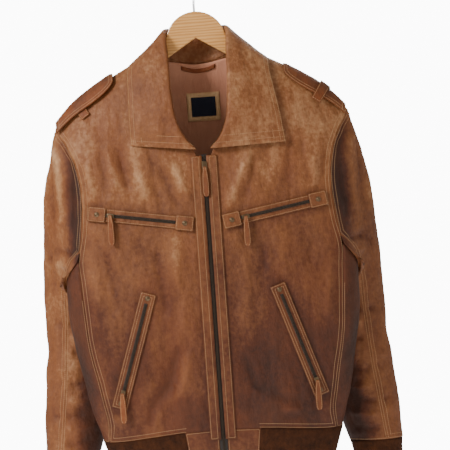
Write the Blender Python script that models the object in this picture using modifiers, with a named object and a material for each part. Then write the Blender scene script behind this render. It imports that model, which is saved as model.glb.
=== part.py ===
"""Worn leather flight jacket, hanging open-necked on its flat wooden hanger.

Metres, +Z up. The front faces -Y and the wearer's left is +X. The origin is the
inside top of the hanger's metal hook, where a rail holds it.

The cloth pieces are walls lofted through points of two shapes: the body, a flat
tube that closes over the shoulder ridge, and the sleeve, a tube that starts at
the armhole. What lies on a panel is made from the panel's own points, moved out.
"""
import math

import bmesh
import bpy
from mathutils import Vector

MM = 0.001

# Driving dimensions of the garment
WALL = 2.0 * MM                # leather with its lining
SEAM_GAP = 0.3 * MM            # between two pieces at a seam
NECK_SIDE_X = 72 * MM          # where the shoulder seam meets the collar
SHOULDER_TIP_X = 252 * MM
NECK_FRONT_Z = -323 * MM       # top of the centre zip
NECK_BACK_Z = -163 * MM        # back neck seam at the centre
HEM_Z = -797 * MM              # lower edge of the leather
RIB_HEIGHT = 63 * MM
FRONT_EDGE_X = 7.0 * MM        # each front stops this far from the centre
SHOULDER_ROUND = 160 * MM      # depth over which the body swells below the ridge
SIDE_SQUARENESS = 0.75         # below 1 the body's front is flatter than an ellipse
ARMHOLE_END_Z = -493 * MM      # the side-front seam starts here
BACK_SEAM_TOP_Z = -519 * MM
SLEEVE_RING_Z = -590 * MM      # from here down the sleeve is a plain tube
SLEEVE_END_Z = -838 * MM
CUFF_HEIGHT = 65 * MM
ARMHOLE_GAP = 1.4 * MM
RIDGE_HALF_GAP = 0.3 * MM      # each side of the shoulder seam
CHEST_INNER = (40 * MM, -439 * MM)     # rivets of the chest pockets, (x, z)
CHEST_OUTER = (188 * MM, -414 * MM)
HIP_TOP = (112 * MM, -562 * MM)        # rivets of the hip pockets
HIP_BOTTOM = (170 * MM, -738 * MM)


def curve_through(*knots):
    """A smooth function of one number through (place, value) pairs in rising order."""
    places = [k[0] for k in knots]
    values = [k[1] for k in knots]
    slopes = []
    for i in range(len(knots)):
        low, high = max(i - 1, 0), min(i + 1, len(knots) - 1)
        slopes.append((values[high] - values[low]) / (places[high] - places[low]))

    def value_at(place):
        if place <= places[0]:
            return values[0] + slopes[0] * (place - places[0])
        if place >= places[-1]:
            return values[-1] + slopes[-1] * (place - places[-1])
        i = max(j for j in range(len(places) - 1) if places[j] <= place)
        span = places[i + 1] - places[i]
        u = (place - places[i]) / span
        return ((2 * u ** 3 - 3 * u ** 2 + 1) * values[i] + (3 * u ** 2 - 2 * u ** 3) * values[i + 1]
                + span * ((u ** 3 - 2 * u ** 2 + u) * slopes[i] + (u ** 3 - u ** 2) * slopes[i + 1]))
    return value_at


def mm_curve(*knots):
    """curve_through for pairs given in millimetres."""
    return curve_through(*[(a * MM, b * MM) for a, b in knots])


def spread(first, last, count):
    """count + 1 numbers from first to last."""
    return [first + (last - first) * i / count for i in range(count + 1)]


# The body tube. Its half width and depths follow the height, its top follows the shoulders.
half_width = mm_curve((-900, 186), (-862, 188), (-830, 197), (-800, 208), (-743, 226),
                      (-690, 236), (-638, 248), (-585, 254), (-540, 255), (-200, 255))
front_depth = mm_curve((-860, 47), (-800, 56), (-640, 62), (-450, 62), (-300, 58), (-130, 54))
back_depth = mm_curve((-860, 38), (-800, 45), (-640, 50), (-450, 49), (-300, 48), (-130, 46))
ridge_z = mm_curve((0, -116), (50, -128), (72, -138), (110, -157), (150, -178),
                   (180, -196), (211, -217), (235, -240), (252, -260))

# Main folds: height of the ridge or depth of the trough, its width, and the line it follows
FRONT_FOLDS = (
    (5.0, 14, ((-196, -335), (-190, -385))),
    (-6.0, 14, ((-140, -290), (-130, -365))),
    (4.0, 14, ((-100, -325), (-96, -375))),
    (4.5, 14, ((-60, -325), (-46, -390))),
    (4.5, 14, ((74, -325), (56, -390))),
    (-4.0, 14, ((122, -300), (116, -380))),
    (4.0, 14, ((186, -325), (184, -380))),
    (-5.5, 14, ((-62, -620), (-84, -690))),
    (-5.5, 14, ((-84, -690), (-96, -770))),
    (4.5, 14, ((80, -745), (112, -770))),
    (-4.5, 14, ((60, -640), (72, -715))),
    (4.0, 15, ((-196, -560), (-190, -640))),
    (4.0, 15, ((196, -570), (190, -660))),
)
BACK_FOLDS = (
    (5.0, 18, ((-165, -330), (-140, -470))),
    (5.0, 18, ((165, -330), (144, -470))),
    (-5.0, 18, ((-60, -470), (-66, -600))),
    (-4.5, 18, ((70, -490), (58, -610))),
    (4.5, 16, ((-130, -640), (-90, -740))),
    (4.5, 16, ((120, -620), (90, -735))),
)
FOLD_SPREAD = 1.6


def fold_height(folds, x, z):
    total = 0.0
    here = Vector((x / MM, z / MM))
    for height, width, (start, end) in folds:
        a, b = Vector(start), Vector(end)
        along = (here - a).dot(b - a) / (b - a).length_squared
        near = a + (b - a) * min(max(along, 0.0), 1.0)
        total += height * math.exp(-((here - near).length / (FOLD_SPREAD * width)) ** 2)
    return total * MM


def distance_to(start, end, x, z):
    a, b, here = Vector(start), Vector(end), Vector((x, z))
    along = (here - a).dot(b - a) / (b - a).length_squared
    return (here - a - (b - a) * min(max(along, 0.0), 1.0)).length


def calm(x, z):
    """0 under the zip and the pockets, whose stiff edges keep the leather flat, and 1 away from them."""
    nearest = min(abs(x) - 14 * MM, distance_to(CHEST_INNER, CHEST_OUTER, abs(x), z),
                  distance_to(HIP_TOP, HIP_BOTTOM, abs(x), z))
    share = min(max((nearest - 30 * MM) / (30 * MM), 0.0), 1.0)
    return share * share * (3 - 2 * share)


def swell(depth_below):
    """0 on the shoulder ridge, 1 from SHOULDER_ROUND below it, odd across the ridge."""
    d = min(abs(depth_below) / SHOULDER_ROUND, 1.0)
    return math.copysign(math.sqrt(1.0 - (1.0 - d) ** 2), depth_below)


def body_outline(angle, z):
    """Point of the body's outer face. The angle is 0 at the front, 90 at the left side."""
    rad = math.radians(angle)
    x = half_width(z) * math.sin(rad)
    at_front = math.cos(rad) >= 0
    depth = front_depth(z) if at_front else back_depth(z)
    round_off = abs(math.cos(rad)) ** SIDE_SQUARENESS
    below = ridge_z(abs(x)) - z
    folds = fold_height(FRONT_FOLDS, x, z) * calm(x, z) if at_front else fold_height(BACK_FOLDS, x, z)
    fade = min(max(below / (60 * MM), 0.0), 1.0) * min(1.0, abs(math.cos(rad)) * 4)
    y = depth * round_off * swell(below) + folds * fade
    y += RIDGE_HALF_GAP * min(1.0, abs(math.cos(rad)) * 8)
    return Vector((x, -y if at_front else y, z))


def body(angle, z, lift=0.0):
    """Point of the body moved out of its outer face by lift."""
    step_a, step_z = 0.05, 0.02 * MM
    across = body_outline(angle + step_a, z) - body_outline(angle - step_a, z)
    up = body_outline(angle, z + step_z) - body_outline(angle, z - step_z)
    return body_outline(angle, z) + across.cross(up).normalized() * lift


def side_angle(x, z):
    """Angle of the front point that lies at x."""
    return math.degrees(math.asin(max(-1.0, min(1.0, x / half_width(z)))))


def front(x, z, lift=0.0):
    return body(side_angle(x, z), z, lift)


def back(x, z, lift=0.0):
    return body(180.0 - side_angle(x, z), z, lift)


def over_shoulder(x, q, lift=0.0):
    """Point q below the ridge: in front of it where q is positive, behind it where negative."""
    z = ridge_z(abs(x)) - abs(q)
    return front(x, z, lift) if q >= 0 else back(x, z, lift)


# Meshes and materials

def material(name, colour, roughness, metallic=0.0):
    made = bpy.data.materials.new(name)
    made.use_nodes = True
    shader = made.node_tree.nodes["Principled BSDF"]
    shader.inputs["Base Color"].default_value = (*colour, 1.0)
    shader.inputs["Roughness"].default_value = roughness
    shader.inputs["Metallic"].default_value = metallic
    made.diffuse_color = (*colour, 1.0)
    return made


def place(name, mesh, finish):
    made = bpy.data.objects.new(name, mesh)
    mesh.materials.append(finish)
    jacket.objects.link(made)
    return made


def loft_wall(name, outer, inner, finish, closed=False):
    """A wall between two grids of points, rows first; closed joins the last column to the first."""
    rows, columns = len(outer), len(outer[0])
    mesh = bmesh.new()
    faces = []
    skins = [[[mesh.verts.new(p) for p in row] for row in grid] for grid in (outer, inner)]
    last = columns if closed else columns - 1
    for side, skin in enumerate(skins):
        for r in range(rows - 1):
            for c in range(last):
                d = (c + 1) % columns
                corner = (skin[r][c], skin[r + 1][c], skin[r + 1][d], skin[r][d])
                faces.append(corner if side == 0 else corner[::-1])
    out, inn = skins
    for r in (0, rows - 1):
        for c in range(last):
            d = (c + 1) % columns
            faces.append((out[r][c], out[r][d], inn[r][d], inn[r][c]))
    if not closed:
        for c in (0, columns - 1):
            for r in range(rows - 1):
                faces.append((out[r][c], out[r + 1][c], inn[r + 1][c], inn[r][c]))
    for corners in faces:
        mesh.faces.new(corners)
    bmesh.ops.triangulate(mesh, faces=mesh.faces, quad_method="SHORT_EDGE")
    bmesh.ops.recalc_face_normals(mesh, faces=mesh.faces)
    data = bpy.data.meshes.new(name)
    mesh.to_mesh(data)
    mesh.free()
    data.shade_smooth()
    return place(name, data, finish)


def patch_wall(name, surface, places, low, high, finish, closed=False):
    """A wall that follows surface(u, v, lift) at rows of (u, v), from lift low to high."""
    outer = [[surface(u, v, high) for u, v in row] for row in places]
    inner = [[surface(u, v, low) for u, v in row] for row in places]
    return loft_wall(name, outer, inner, finish, closed)


def blend_patch(left, right, top, bottom, columns, rows):
    """Rows of 2D points between four edges, each a function of 0 to 1 (a Coons patch)."""
    made = []
    for r in rows:
        line = []
        for a in columns:
            point = (left(r) * (1 - a) + right(r) * a + top(a) * (1 - r) + bottom(a) * r
                     - top(0) * (1 - a) * (1 - r) - top(1) * a * (1 - r)
                     - bottom(0) * (1 - a) * r - bottom(1) * a * r)
            line.append(point)
        made.append(line)
    return made


# The armhole, round the body's outer face: turn 0 is the shoulder tip, 90 the front, 180 under the arm
armhole_angle = curve_through((0, 81.2), (30, 64.2), (60, 57.3), (90, 56.4), (115, 60), (127, 62.6),
                              (137, 69.5), (155, 90), (180, 112), (200, 123.5), (212, 126),
                              (235, 125.5), (265, 122.5), (300, 121.3), (330, 115.6), (360, 98.8))
armhole_height = mm_curve((0, -260), (30, -301), (60, -352), (90, -405), (115, -468), (127, -493),
                          (137, -508), (155, -530), (180, -544), (200, -533), (212, -519),
                          (235, -472), (265, -405), (300, -345), (330, -298), (360, -260))


def armhole(turn):
    return Vector((armhole_angle(turn), armhole_height(turn * MM)))


SHOULDER_COLUMNS = 11          # the same points on both sides of the shoulder seam
SIDE_COLUMNS = 6
FRONT_SEAM_TURN = 127
BACK_SEAM_TURN = 212

side_front_seam = curve_through((-0.900, 70), (-0.797, 71), (-0.769, 62), (-0.660, 61.5),
                                (-0.587, 60.5), (-0.493, 62.6))
side_back_seam = curve_through((-0.900, 118), (-0.797, 120), (-0.660, 124), (-0.519, 126))


def hem_z(angle):
    """The leather's lower edge rises and falls a little round the hem."""
    turned = math.radians(abs((angle + 180) % 360 - 180))
    return HEM_Z + 4 * MM * math.cos(3 * turned) - 6 * MM * math.sin(turned) ** 2


HEM_SIDE_Z = hem_z(side_front_seam(HEM_Z))
HEM_BACK_Z = hem_z(side_back_seam(HEM_Z))
SEAM_ROWS = 9                  # rows of each panel below the armhole, so that seams meet point to point
NEAR_RIDGE = [0, 0.005, 0.018, 0.04, 0.085, 0.16]

neck_front_x = mm_curve((-323, 10), (-316, 18), (-303, 36), (-265, 52), (-205, 62), (-165, 68), (-138, 72))
neck_back_z = mm_curve((0, -163), (30, -160), (55, -150), (72, -138))


def edge_gap(angle, z, amount):
    """The angle that spans a distance across the body."""
    step = (body_outline(angle + 0.05, z) - body_outline(angle - 0.05, z)).length / 0.1
    return amount / step


def row_of(z_top, z_bottom):
    return lambda r: z_top + (z_bottom - z_top) * r


def front_panel(name, side, finish):
    """One front: zip edge, neckline and shoulder seam, armhole and side-front seam, hem."""
    neck_share, armhole_share = 0.32, 0.46
    neck_top = ridge_z(NECK_SIDE_X)

    def left(r):
        if r <= neck_share:
            z = neck_top + (NECK_FRONT_Z - neck_top) * (r / neck_share) ** 1.3
            x = FRONT_EDGE_X if r == neck_share else neck_front_x(z)
            return Vector((side_angle(x, z), z))
        z = row_of(NECK_FRONT_Z, hem_z(side_angle(FRONT_EDGE_X, HEM_Z)))((r - neck_share) / (1 - neck_share))
        return Vector((side_angle(FRONT_EDGE_X, z), z))

    def right(r):
        if r <= armhole_share:
            spot = armhole(FRONT_SEAM_TURN * r / armhole_share)
            return Vector((spot.x - edge_gap(spot.x, spot.y, SEAM_GAP), spot.y))
        z = row_of(ARMHOLE_END_Z, HEM_SIDE_Z)((r - armhole_share) / (1 - armhole_share))
        angle = side_front_seam(z)
        return Vector((angle - edge_gap(angle, z, SEAM_GAP), z))

    def top(a):
        if a == 1:
            return right(0)
        x = NECK_SIDE_X + (SHOULDER_TIP_X - NECK_SIDE_X) * a
        z = ridge_z(x)
        return Vector((side_angle(x, z), z))

    def bottom(a):
        low, high = left(1).x, right(1).x
        angle = low + (high - low) * a
        return Vector((angle, hem_z(angle)))

    rows = NEAR_RIDGE + [0.24, neck_share, 0.39] + spread(armhole_share, 1, SEAM_ROWS)
    places = blend_patch(left, right, top, bottom, spread(0, 1, SHOULDER_COLUMNS), rows)
    return patch_wall(name, body, [[(p.x * side, p.y) for p in row] for row in places], -WALL, 0, finish)


def side_panel(name, side, finish):
    """The panel under the arm, from the side-front seam round to the back."""
    def left(r):
        z = row_of(ARMHOLE_END_Z, HEM_SIDE_Z)(r)
        return Vector((side_front_seam(z), z))

    def right(r):
        z = row_of(BACK_SEAM_TOP_Z, HEM_BACK_Z)(r)
        angle = side_back_seam(z)
        return Vector((angle - edge_gap(angle, z, SEAM_GAP), z))

    def top(a):
        spot = armhole(FRONT_SEAM_TURN + (BACK_SEAM_TURN - FRONT_SEAM_TURN) * a)
        if a == 1:
            return right(0)
        return spot

    def bottom(a):
        low, high = left(1).x, right(1).x
        angle = low + (high - low) * a
        return Vector((angle, hem_z(angle)))

    places = blend_patch(left, right, top, bottom, spread(0, 1, SIDE_COLUMNS), spread(0, 1, SEAM_ROWS))
    return patch_wall(name, body, [[(p.x * side, p.y) for p in row] for row in places], -WALL, 0, finish)


def back_panel(name, finish):
    """The whole back, mirrored about its centre line."""
    neck_share, armhole_share = 0.3, 0.48

    def centre(r):
        return Vector((180.0, row_of(NECK_BACK_Z, hem_z(180))(r)))

    def outer(r):
        if r <= armhole_share:
            return armhole(360 - (360 - BACK_SEAM_TURN) * r / armhole_share)
        z = row_of(BACK_SEAM_TOP_Z, HEM_BACK_Z)((r - armhole_share) / (1 - armhole_share))
        return Vector((side_back_seam(z), z))

    def top(a):
        if a <= neck_share:
            x = NECK_SIDE_X * a / neck_share
            return Vector((180 - side_angle(x, neck_back_z(x)), neck_back_z(x)))
        if a == 1:
            return outer(0)
        x = NECK_SIDE_X + (SHOULDER_TIP_X - NECK_SIDE_X) * (a - neck_share) / (1 - neck_share)
        return Vector((180 - side_angle(x, ridge_z(x)), ridge_z(x)))

    def bottom(a):
        angle = centre(1).x + (outer(1).x - centre(1).x) * a
        return Vector((angle, hem_z(angle)))

    columns = spread(0, neck_share, 3) + spread(neck_share, 1, SHOULDER_COLUMNS)[1:]
    rows = NEAR_RIDGE + [0.25, 0.33, 0.41] + spread(armhole_share, 1, SEAM_ROWS)
    half = blend_patch(centre, outer, top, bottom, columns, rows)
    places = [[(-p.x, p.y) for p in row[:0:-1]] + [(p.x, p.y) for p in row] for row in half]
    return patch_wall(name, body, places, -WALL, 0, finish)


# The sleeve: from each point of the armhole a curve runs out and down to a ring, then rings to the wrist
leave_x = curve_through((0, 18), (45, 30), (90, 36), (118, 28), (127, 27), (141, 28), (155, 26), (169, 22),
                        (180, 12), (197, 8), (230, 26), (265, 36), (315, 28), (360, 18))
leave_y = curve_through((0, 6), (45, 4), (90, 18), (118, 9), (127, 8), (141, 9), (155, 14), (169, 24),
                        (180, 32), (197, 36), (230, 32), (265, 18), (315, 8), (360, 6))
leave_z = curve_through((0, -58), (45, -42), (90, -20), (118, -22), (127, -22), (141, -12), (155, -6), (169, -3),
                        (180, 0), (197, 0), (230, -5), (265, -12), (315, -42), (360, -58))
hang_height = curve_through((0, 190), (45, 160), (90, 120), (118, 76), (127, 60), (141, 52), (155, 45), (169, 42),
                            (180, 45), (197, 65), (230, 90), (265, 115), (315, 160), (360, 190))
ring_turn = curve_through((0, 0), (45, 27), (90, 53), (118, 68), (127, 72), (141, 78), (155, 90), (169, 113),
                          (180, 140), (197, 172), (230, 210), (265, 258), (315, 315), (360, 360))

sleeve_x = mm_curve((-903, 271), (-838, 267), (-801, 260), (-750, 253), (-700, 246), (-650, 241), (-590, 236))
sleeve_y = mm_curve((-903, 46), (-838, 52), (-801, 58), (-750, 66), (-700, 72), (-650, 77), (-590, 81))
sleeve_half = mm_curve((-903, 38), (-838, 47), (-801, 53), (-750, 56.5), (-700, 59.5), (-650, 61.5), (-590, 64))
sleeve_deep = mm_curve((-903, 26), (-838, 32), (-801, 36), (-750, 39), (-700, 42), (-650, 44), (-590, 46))

# Folds across the sleeve: height, how far down, width down the sleeve, turn of the middle, spread in turns
SLEEVE_FOLDS = (
    (-8.0, -395, 70, 62, 26), (5.0, -470, 30, 20, 40), (-5.0, -520, 26, 55, 30),
    (4.0, -610, 24, 30, 40), (-5.0, -645, 20, 10, 45), (4.5, -690, 22, 40, 45),
    (-4.5, -725, 18, 60, 40), (4.0, -765, 20, 15, 45), (-4.0, -800, 14, 50, 40),
    (-5.0, -640, 30, 250, 50), (4.5, -700, 26, 280, 50), (-4.0, -760, 22, 240, 50),
)


def sleeve_fold(turn, z):
    total = 0.0
    for height, middle, width, at, reach in SLEEVE_FOLDS:
        off = abs((turn - at + 180) % 360 - 180)
        total += height * math.exp(-((z / MM - middle) / width) ** 2 - (off / reach) ** 2)
    return total * MM


def ring_point(turn, z):
    rad = math.radians(ring_turn(turn))
    bulge = 1 + sleeve_fold(turn, z) / sleeve_half(z)
    return Vector((sleeve_x(z) + sleeve_half(z) * math.cos(rad) * bulge,
                   sleeve_y(z) - sleeve_deep(z) * math.sin(rad) * bulge, z))


def armhole_point(turn):
    """Start of the sleeve: the armhole's edge, moved into the hole by the seam's gap."""
    spot = armhole(turn)
    before, after = armhole(max(turn - 1, 0)), armhole(min(turn + 1, 360))
    run = body_outline(after.x, after.y) - body_outline(before.x, before.y)
    here = body_outline(spot.x, spot.y)
    normal = (body(spot.x, spot.y, 1 * MM) - here).normalized()
    return here + normal.cross(run).normalized() * ARMHOLE_GAP


def sleeve_outline(turn, down):
    """down runs 0 to 1 from the armhole to the ring, and 1 to 2 from there to the wrist."""
    if down > 1:
        return ring_point(turn, SLEEVE_RING_Z + (SLEEVE_END_Z - SLEEVE_RING_Z) * (down - 1))
    start = armhole_point(turn)
    end = ring_point(turn, SLEEVE_RING_Z)
    leave = start + Vector((leave_x(turn), leave_y(turn), leave_z(turn))) * MM
    arrive = end + Vector((0, 0, hang_height(turn) * MM))
    u = down
    point = (start * (1 - u) ** 3 + leave * 3 * u * (1 - u) ** 2
             + arrive * 3 * u ** 2 * (1 - u) + end * u ** 3)
    settle = math.sin(math.pi * min(u * 1.5, 1.0)) if u < 0.667 else 0.0
    outward = Vector((math.cos(math.radians(ring_turn(turn))), -math.sin(math.radians(ring_turn(turn))), 0))
    return point + outward * sleeve_fold(turn, point.z) * settle


def sleeve(turn, down, lift=0.0):
    across = sleeve_outline(turn + 0.5, down) - sleeve_outline(turn - 0.5, down)
    low, high = max(down - 0.004, 0.0), down + 0.004
    fall = sleeve_outline(turn, high) - sleeve_outline(turn, low)
    return sleeve_outline(turn, down) + across.cross(fall).normalized() * lift


# The collar: one wall that stands up from the neck seam, turns over and lies on the shoulders
COLLAR_WALL = 2.2 * MM
FOLD_RADIUS = 3.6 * MM
COLLAR_SIDE = 0.42             # share of the half collar behind the shoulder seam
LEAF_LIFT = 4.6 * MM

FOLD_LINE = ((0, 0, 41, -110), (150, 27, 36, -106), (300, 49, 14, -101), (400, 54, -10, -110),
             (550, 51, -35, -150), (700, 50, -56, -205), (850, 44, -66, -265), (940, 29, -68, -299),
             (1000, 13, -66, -316))
fold_x, fold_y, fold_z = (mm_curve(*[(row[0], row[axis]) for row in FOLD_LINE]) for axis in (1, 2, 3))
turn_out = (curve_through((0, 0), (0.18, 0.35), (0.32, 0.75), (0.42, 0.75), (0.55, 0.5), (0.7, 0.25), (1, 0.12)),
            curve_through((0, 1), (0.18, 0.9), (0.32, 0.3), (0.42, -0.3), (0.55, -0.8), (0.7, -0.95), (1, -1)),
            curve_through((0, 0), (0.18, 0.15), (0.32, 0.55), (0.42, 0.6), (0.55, 0.35), (0.7, 0.15), (1, 0.03)))
leaf_x = mm_curve((0, 0), (150, 48), (300, 94), (420, 115), (520, 119), (700, 123), (850, 128), (1000, 131))
leaf_drop = mm_curve((0, -76), (150, -68), (300, -30), (420, -3), (520, 14), (700, 54), (850, 98), (1000, 140))
LEAF_TIP_SHIFT = 10 * MM       # the wearer's left tip lies further out than the right one


def neck_seam(w):
    """Place of the neck seam: (angle, z) at share w of the half collar, from the back centre."""
    if w <= COLLAR_SIDE:
        x = NECK_SIDE_X * w / COLLAR_SIDE
        z = neck_back_z(x)
        return Vector((180 - side_angle(x, z), z))
    z = ridge_z(NECK_SIDE_X) + (NECK_FRONT_Z + 7 * MM - ridge_z(NECK_SIDE_X)) * (w - COLLAR_SIDE) / (1 - COLLAR_SIDE)
    x = neck_front_x(z)
    return Vector((side_angle(x, z), z))


def at_neck_seam(w, lift):
    """Point of the stand's lower edge, a seam's gap inside the neckline."""
    spot = neck_seam(w)
    before, after = neck_seam(max(w - 0.01, 0)), neck_seam(min(w + 0.01, 1))
    run = body_outline(after.x, after.y) - body_outline(before.x, before.y)
    here = body_outline(spot.x, spot.y)
    normal = (body(spot.x, spot.y, 1 * MM) - here).normalized()
    inward = run.cross(normal).normalized()
    return here + normal * lift + inward * 2 * SEAM_GAP


def clear_of_front(point, amount):
    """Moves a point forward until it lies outside the front by that amount."""
    if point.y > 0 or point.z > ridge_z(abs(point.x)) - 8 * MM:
        return point
    surface = front(point.x, point.z)
    return Vector((point.x, min(point.y, surface.y - amount), point.z))


def collar_section(w):
    """Visible side of the collar at share w of its half: up the stand, over the fold, down the leaf."""
    fold = Vector((fold_x(w), fold_y(w), fold_z(w)))
    edge_x = leaf_x(w) + LEAF_TIP_SHIFT * collar_hand * max(0.0, w - 0.6) / 0.4
    edge = over_shoulder(edge_x, leaf_drop(w), LEAF_LIFT)
    outward = Vector([part(w) for part in turn_out]).normalized()
    run = edge - fold
    run = (run - outward * run.dot(outward)).normalized()
    centre = fold + run * FOLD_RADIUS
    seam = at_neck_seam(w, -WALL)
    arc = []
    for step in range(5):
        angle = math.radians(-90 + 45 * step)
        arc.append(centre + (outward * math.sin(angle) - run * math.cos(angle)) * FOLD_RADIUS)
    points = [seam, seam.lerp(arc[0], 0.5)] + arc
    leaf_start = arc[-1]
    middle = leaf_start.lerp(edge, 0.5) + outward * 4 * MM
    for step in (0.25, 0.5, 0.75, 1.0):
        point = (leaf_start * (1 - step) ** 2 + middle * 2 * step * (1 - step) + edge * step ** 2)
        points.append(clear_of_front(point, 3.8 * MM) if step < 1 else point)
    return points


def collar_normals(w):
    here = collar_section(w)
    before, after = collar_section(max(w - 0.004, 0)), collar_section(min(w + 0.004, 1))
    normals = []
    for k in range(len(here)):
        along = after[k] - before[k]
        across = here[min(k + 1, len(here) - 1)] - here[max(k - 1, 0)]
        normals.append(along.cross(across).normalized())
    return normals


def build_collar(finish):
    global collar_hand
    rows = []
    hidden = []
    shares = spread(0, 0.36, 5) + spread(0.42, 0.9, 8) + [0.945, 0.975, 1.0]
    for hand in (-1, 1):
        collar_hand = hand
        order = shares[:0:-1] if hand < 0 else shares
        for w in order:
            flip = Vector((hand, 1, 1))
            points = collar_section(w)
            normals = collar_normals(w)
            under = [p + n * COLLAR_WALL for p, n in zip(points, normals)]
            under[0] = at_neck_seam(w, 0)
            rows.append([p * flip for p in points])
            hidden.append([p * flip for p in under])
    return loft_wall("collar", rows, hidden, finish)


# Sleeves and knit ribs

UPPER_TURNS = [-101.75, -77.1, -49.3, -26.2, -12.3, -5.5, 0, 5, 11, 23.5, 44, 66, 88, 107.7, 118]
FRONT_SLEEVE_SEAM = UPPER_TURNS[-1]
BACK_SLEEVE_SEAM = UPPER_TURNS[0] + 360
SLEEVE_SEAM_TURN = 0.5         # turns between the two pieces at each sleeve seam
SLEEVE_ROWS = [0, 0.05, 0.12, 0.2, 0.3, 0.42, 0.56, 0.7, 0.84] + spread(1, 2, 8)


def sleeve_piece(name, side, turns, finish):
    """A sleeve piece between two seams, from the armhole to the cuff."""
    outer = []
    inner = []
    for down in SLEEVE_ROWS:
        outer.append([sleeve(turn % 360, down) for turn in turns])
        inner.append([sleeve(turn % 360, down, -WALL) for turn in turns])
    if side < 0:
        outer = [[Vector((-p.x, p.y, p.z)) for p in row] for row in outer]
        inner = [[Vector((-p.x, p.y, p.z)) for p in row] for row in inner]
    return loft_wall(name, outer, inner, finish)


RIB_PITCH = 8 * MM
RIB_RELIEF = 1.3 * MM


def even_steps(point_at, first, last, pitch):
    """Places from first to last that lie half a rib's pitch apart along the line point_at gives."""
    fine = spread(first, last, 720)
    lengths = [0.0]
    for a, b in zip(fine, fine[1:]):
        lengths.append(lengths[-1] + (point_at(b) - point_at(a)).length)
    count = 2 * round(lengths[-1] / pitch)
    places = []
    i = 0
    for step in range(count + 1):
        want = lengths[-1] * step / count
        while i < len(fine) - 2 and lengths[i + 1] < want:
            i += 1
        share = (want - lengths[i]) / (lengths[i + 1] - lengths[i])
        places.append(fine[i] + (fine[i + 1] - fine[i]) * share)
    return places


def hem_rib(finish):
    first = side_angle(TAB_END_X, HEM_Z) + edge_gap(15, HEM_Z, SEAM_GAP)
    angles = even_steps(lambda a: body_outline(a, HEM_Z - RIB_HEIGHT / 2), first, 360 - first, RIB_PITCH)
    outer, inner = [], []
    for share in (0, 1):
        outer_row, inner_row = [], []
        for i, angle in enumerate(angles):
            top = hem_z(angle) - SEAM_GAP
            z = top + (HEM_Z - RIB_HEIGHT - top) * share
            outer_row.append(body(angle, z, RIB_RELIEF if i % 2 else 0))
            inner_row.append(body(angle, z, -WALL))
        outer.append(outer_row)
        inner.append(inner_row)
    return loft_wall("hem_rib", outer, inner, finish)


def cuff_ring(turn, z, lift):
    """The cuff starts as wide as the sleeve's end and draws in below it."""
    down = (SLEEVE_END_Z - z) / CUFF_HEIGHT
    draw = 1 - 0.10 * math.sin(math.pi * min(down, 0.5))
    rad = math.radians(turn)
    half, deep = sleeve_half(SLEEVE_END_Z) * draw - 1.5 * MM, sleeve_deep(SLEEVE_END_Z) * draw - 1.5 * MM
    return Vector((sleeve_x(z) + (half + lift) * math.cos(rad), sleeve_y(z) - (deep + lift) * math.sin(rad), z))


def cuff(name, side, finish):
    turns = even_steps(lambda t: cuff_ring(t, SLEEVE_END_Z - CUFF_HEIGHT / 2, 0), 0, 360, RIB_PITCH)[:-1]
    outer, inner = [], []
    for share in (0, 0.3, 1):
        z = SLEEVE_END_Z - SEAM_GAP - CUFF_HEIGHT * share
        outer.append([cuff_ring(t, z, RIB_RELIEF if i % 2 else 0) for i, t in enumerate(turns)])
        inner.append([cuff_ring(t, z, -WALL) for t in turns])
    flip = Vector((side, 1, 1))
    outer = [[p * flip for p in row] for row in outer]
    inner = [[p * flip for p in row] for row in inner]
    return loft_wall(name, outer, inner, finish, closed=True)


# Front closing

ZIP_HALF = FRONT_EDGE_X - SEAM_GAP
ZIP_TEETH_HALF = 3 * MM
TAB_END_X = 64 * MM
PLACKET_WIDTH = 15 * MM
CLOSE_ZIP_Z = -344 * MM        # centre of the front zip's slider


def z_rows(top, bottom, count, x):
    """Heights down a strip on the front, each row at the same x."""
    return [[(x_here, z) for x_here in x] for z in spread(top, bottom, count)]


def front_zip(finish):
    """Tape between the two fronts with its closed rows of teeth standing up in the middle."""
    bottom = HEM_Z - RIB_HEIGHT + 1 * MM
    across = (-ZIP_HALF, -ZIP_TEETH_HALF, ZIP_TEETH_HALF, ZIP_HALF)
    outer, inner = [], []
    for z in spread(NECK_FRONT_Z - 2 * MM, bottom, 16):
        lifts = (-0.6 * MM, 0.6 * MM, 0.6 * MM, -0.6 * MM)
        outer.append([front(x, z, lift) for x, lift in zip(across, lifts)])
        inner.append([front(x, z, -WALL) for x in across])
    return loft_wall("front_zip", outer, inner, finish)


def placket(name, side, finish):
    x = [side * v for v in (FRONT_EDGE_X + 0.2 * MM, FRONT_EDGE_X + PLACKET_WIDTH)]
    places = z_rows(NECK_FRONT_Z - 4 * MM, HEM_Z - 12 * MM, 15, x)
    return patch_wall(name, front, places, SEAM_GAP, SEAM_GAP + 1.6 * MM, finish)


def waist_tab(name, side, finish):
    """The leather that carries the zip down beside the rib."""
    places = []
    for share in (0, 0.5, 1):
        row = []
        edge = side_angle(TAB_END_X, HEM_Z)
        top = hem_z(edge) - SEAM_GAP
        for u in spread(0, 1, 4):
            z = top + (HEM_Z - RIB_HEIGHT - top) * share
            inner_edge = side_angle(FRONT_EDGE_X, z)
            angle = inner_edge + (edge - inner_edge) * u
            row.append((angle * side, z + (hem_z(angle) - hem_z(edge)) * (1 - share)))
        places.append(row)
    return patch_wall(name, body, places, -WALL, 0, finish)


# What lies on the fronts

def front_axes(x, z, along):
    """Point, run, cross and outward directions of the front at (x, z); along is a direction in (x, z)."""
    here = front(x, z)
    outward = (front(x, z, 1 * MM) - here).normalized()
    ahead = front(x + along[0] * MM, z + along[1] * MM) - here
    run = (ahead - outward * ahead.dot(outward)).normalized()
    return here, run, outward.cross(run), outward


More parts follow.
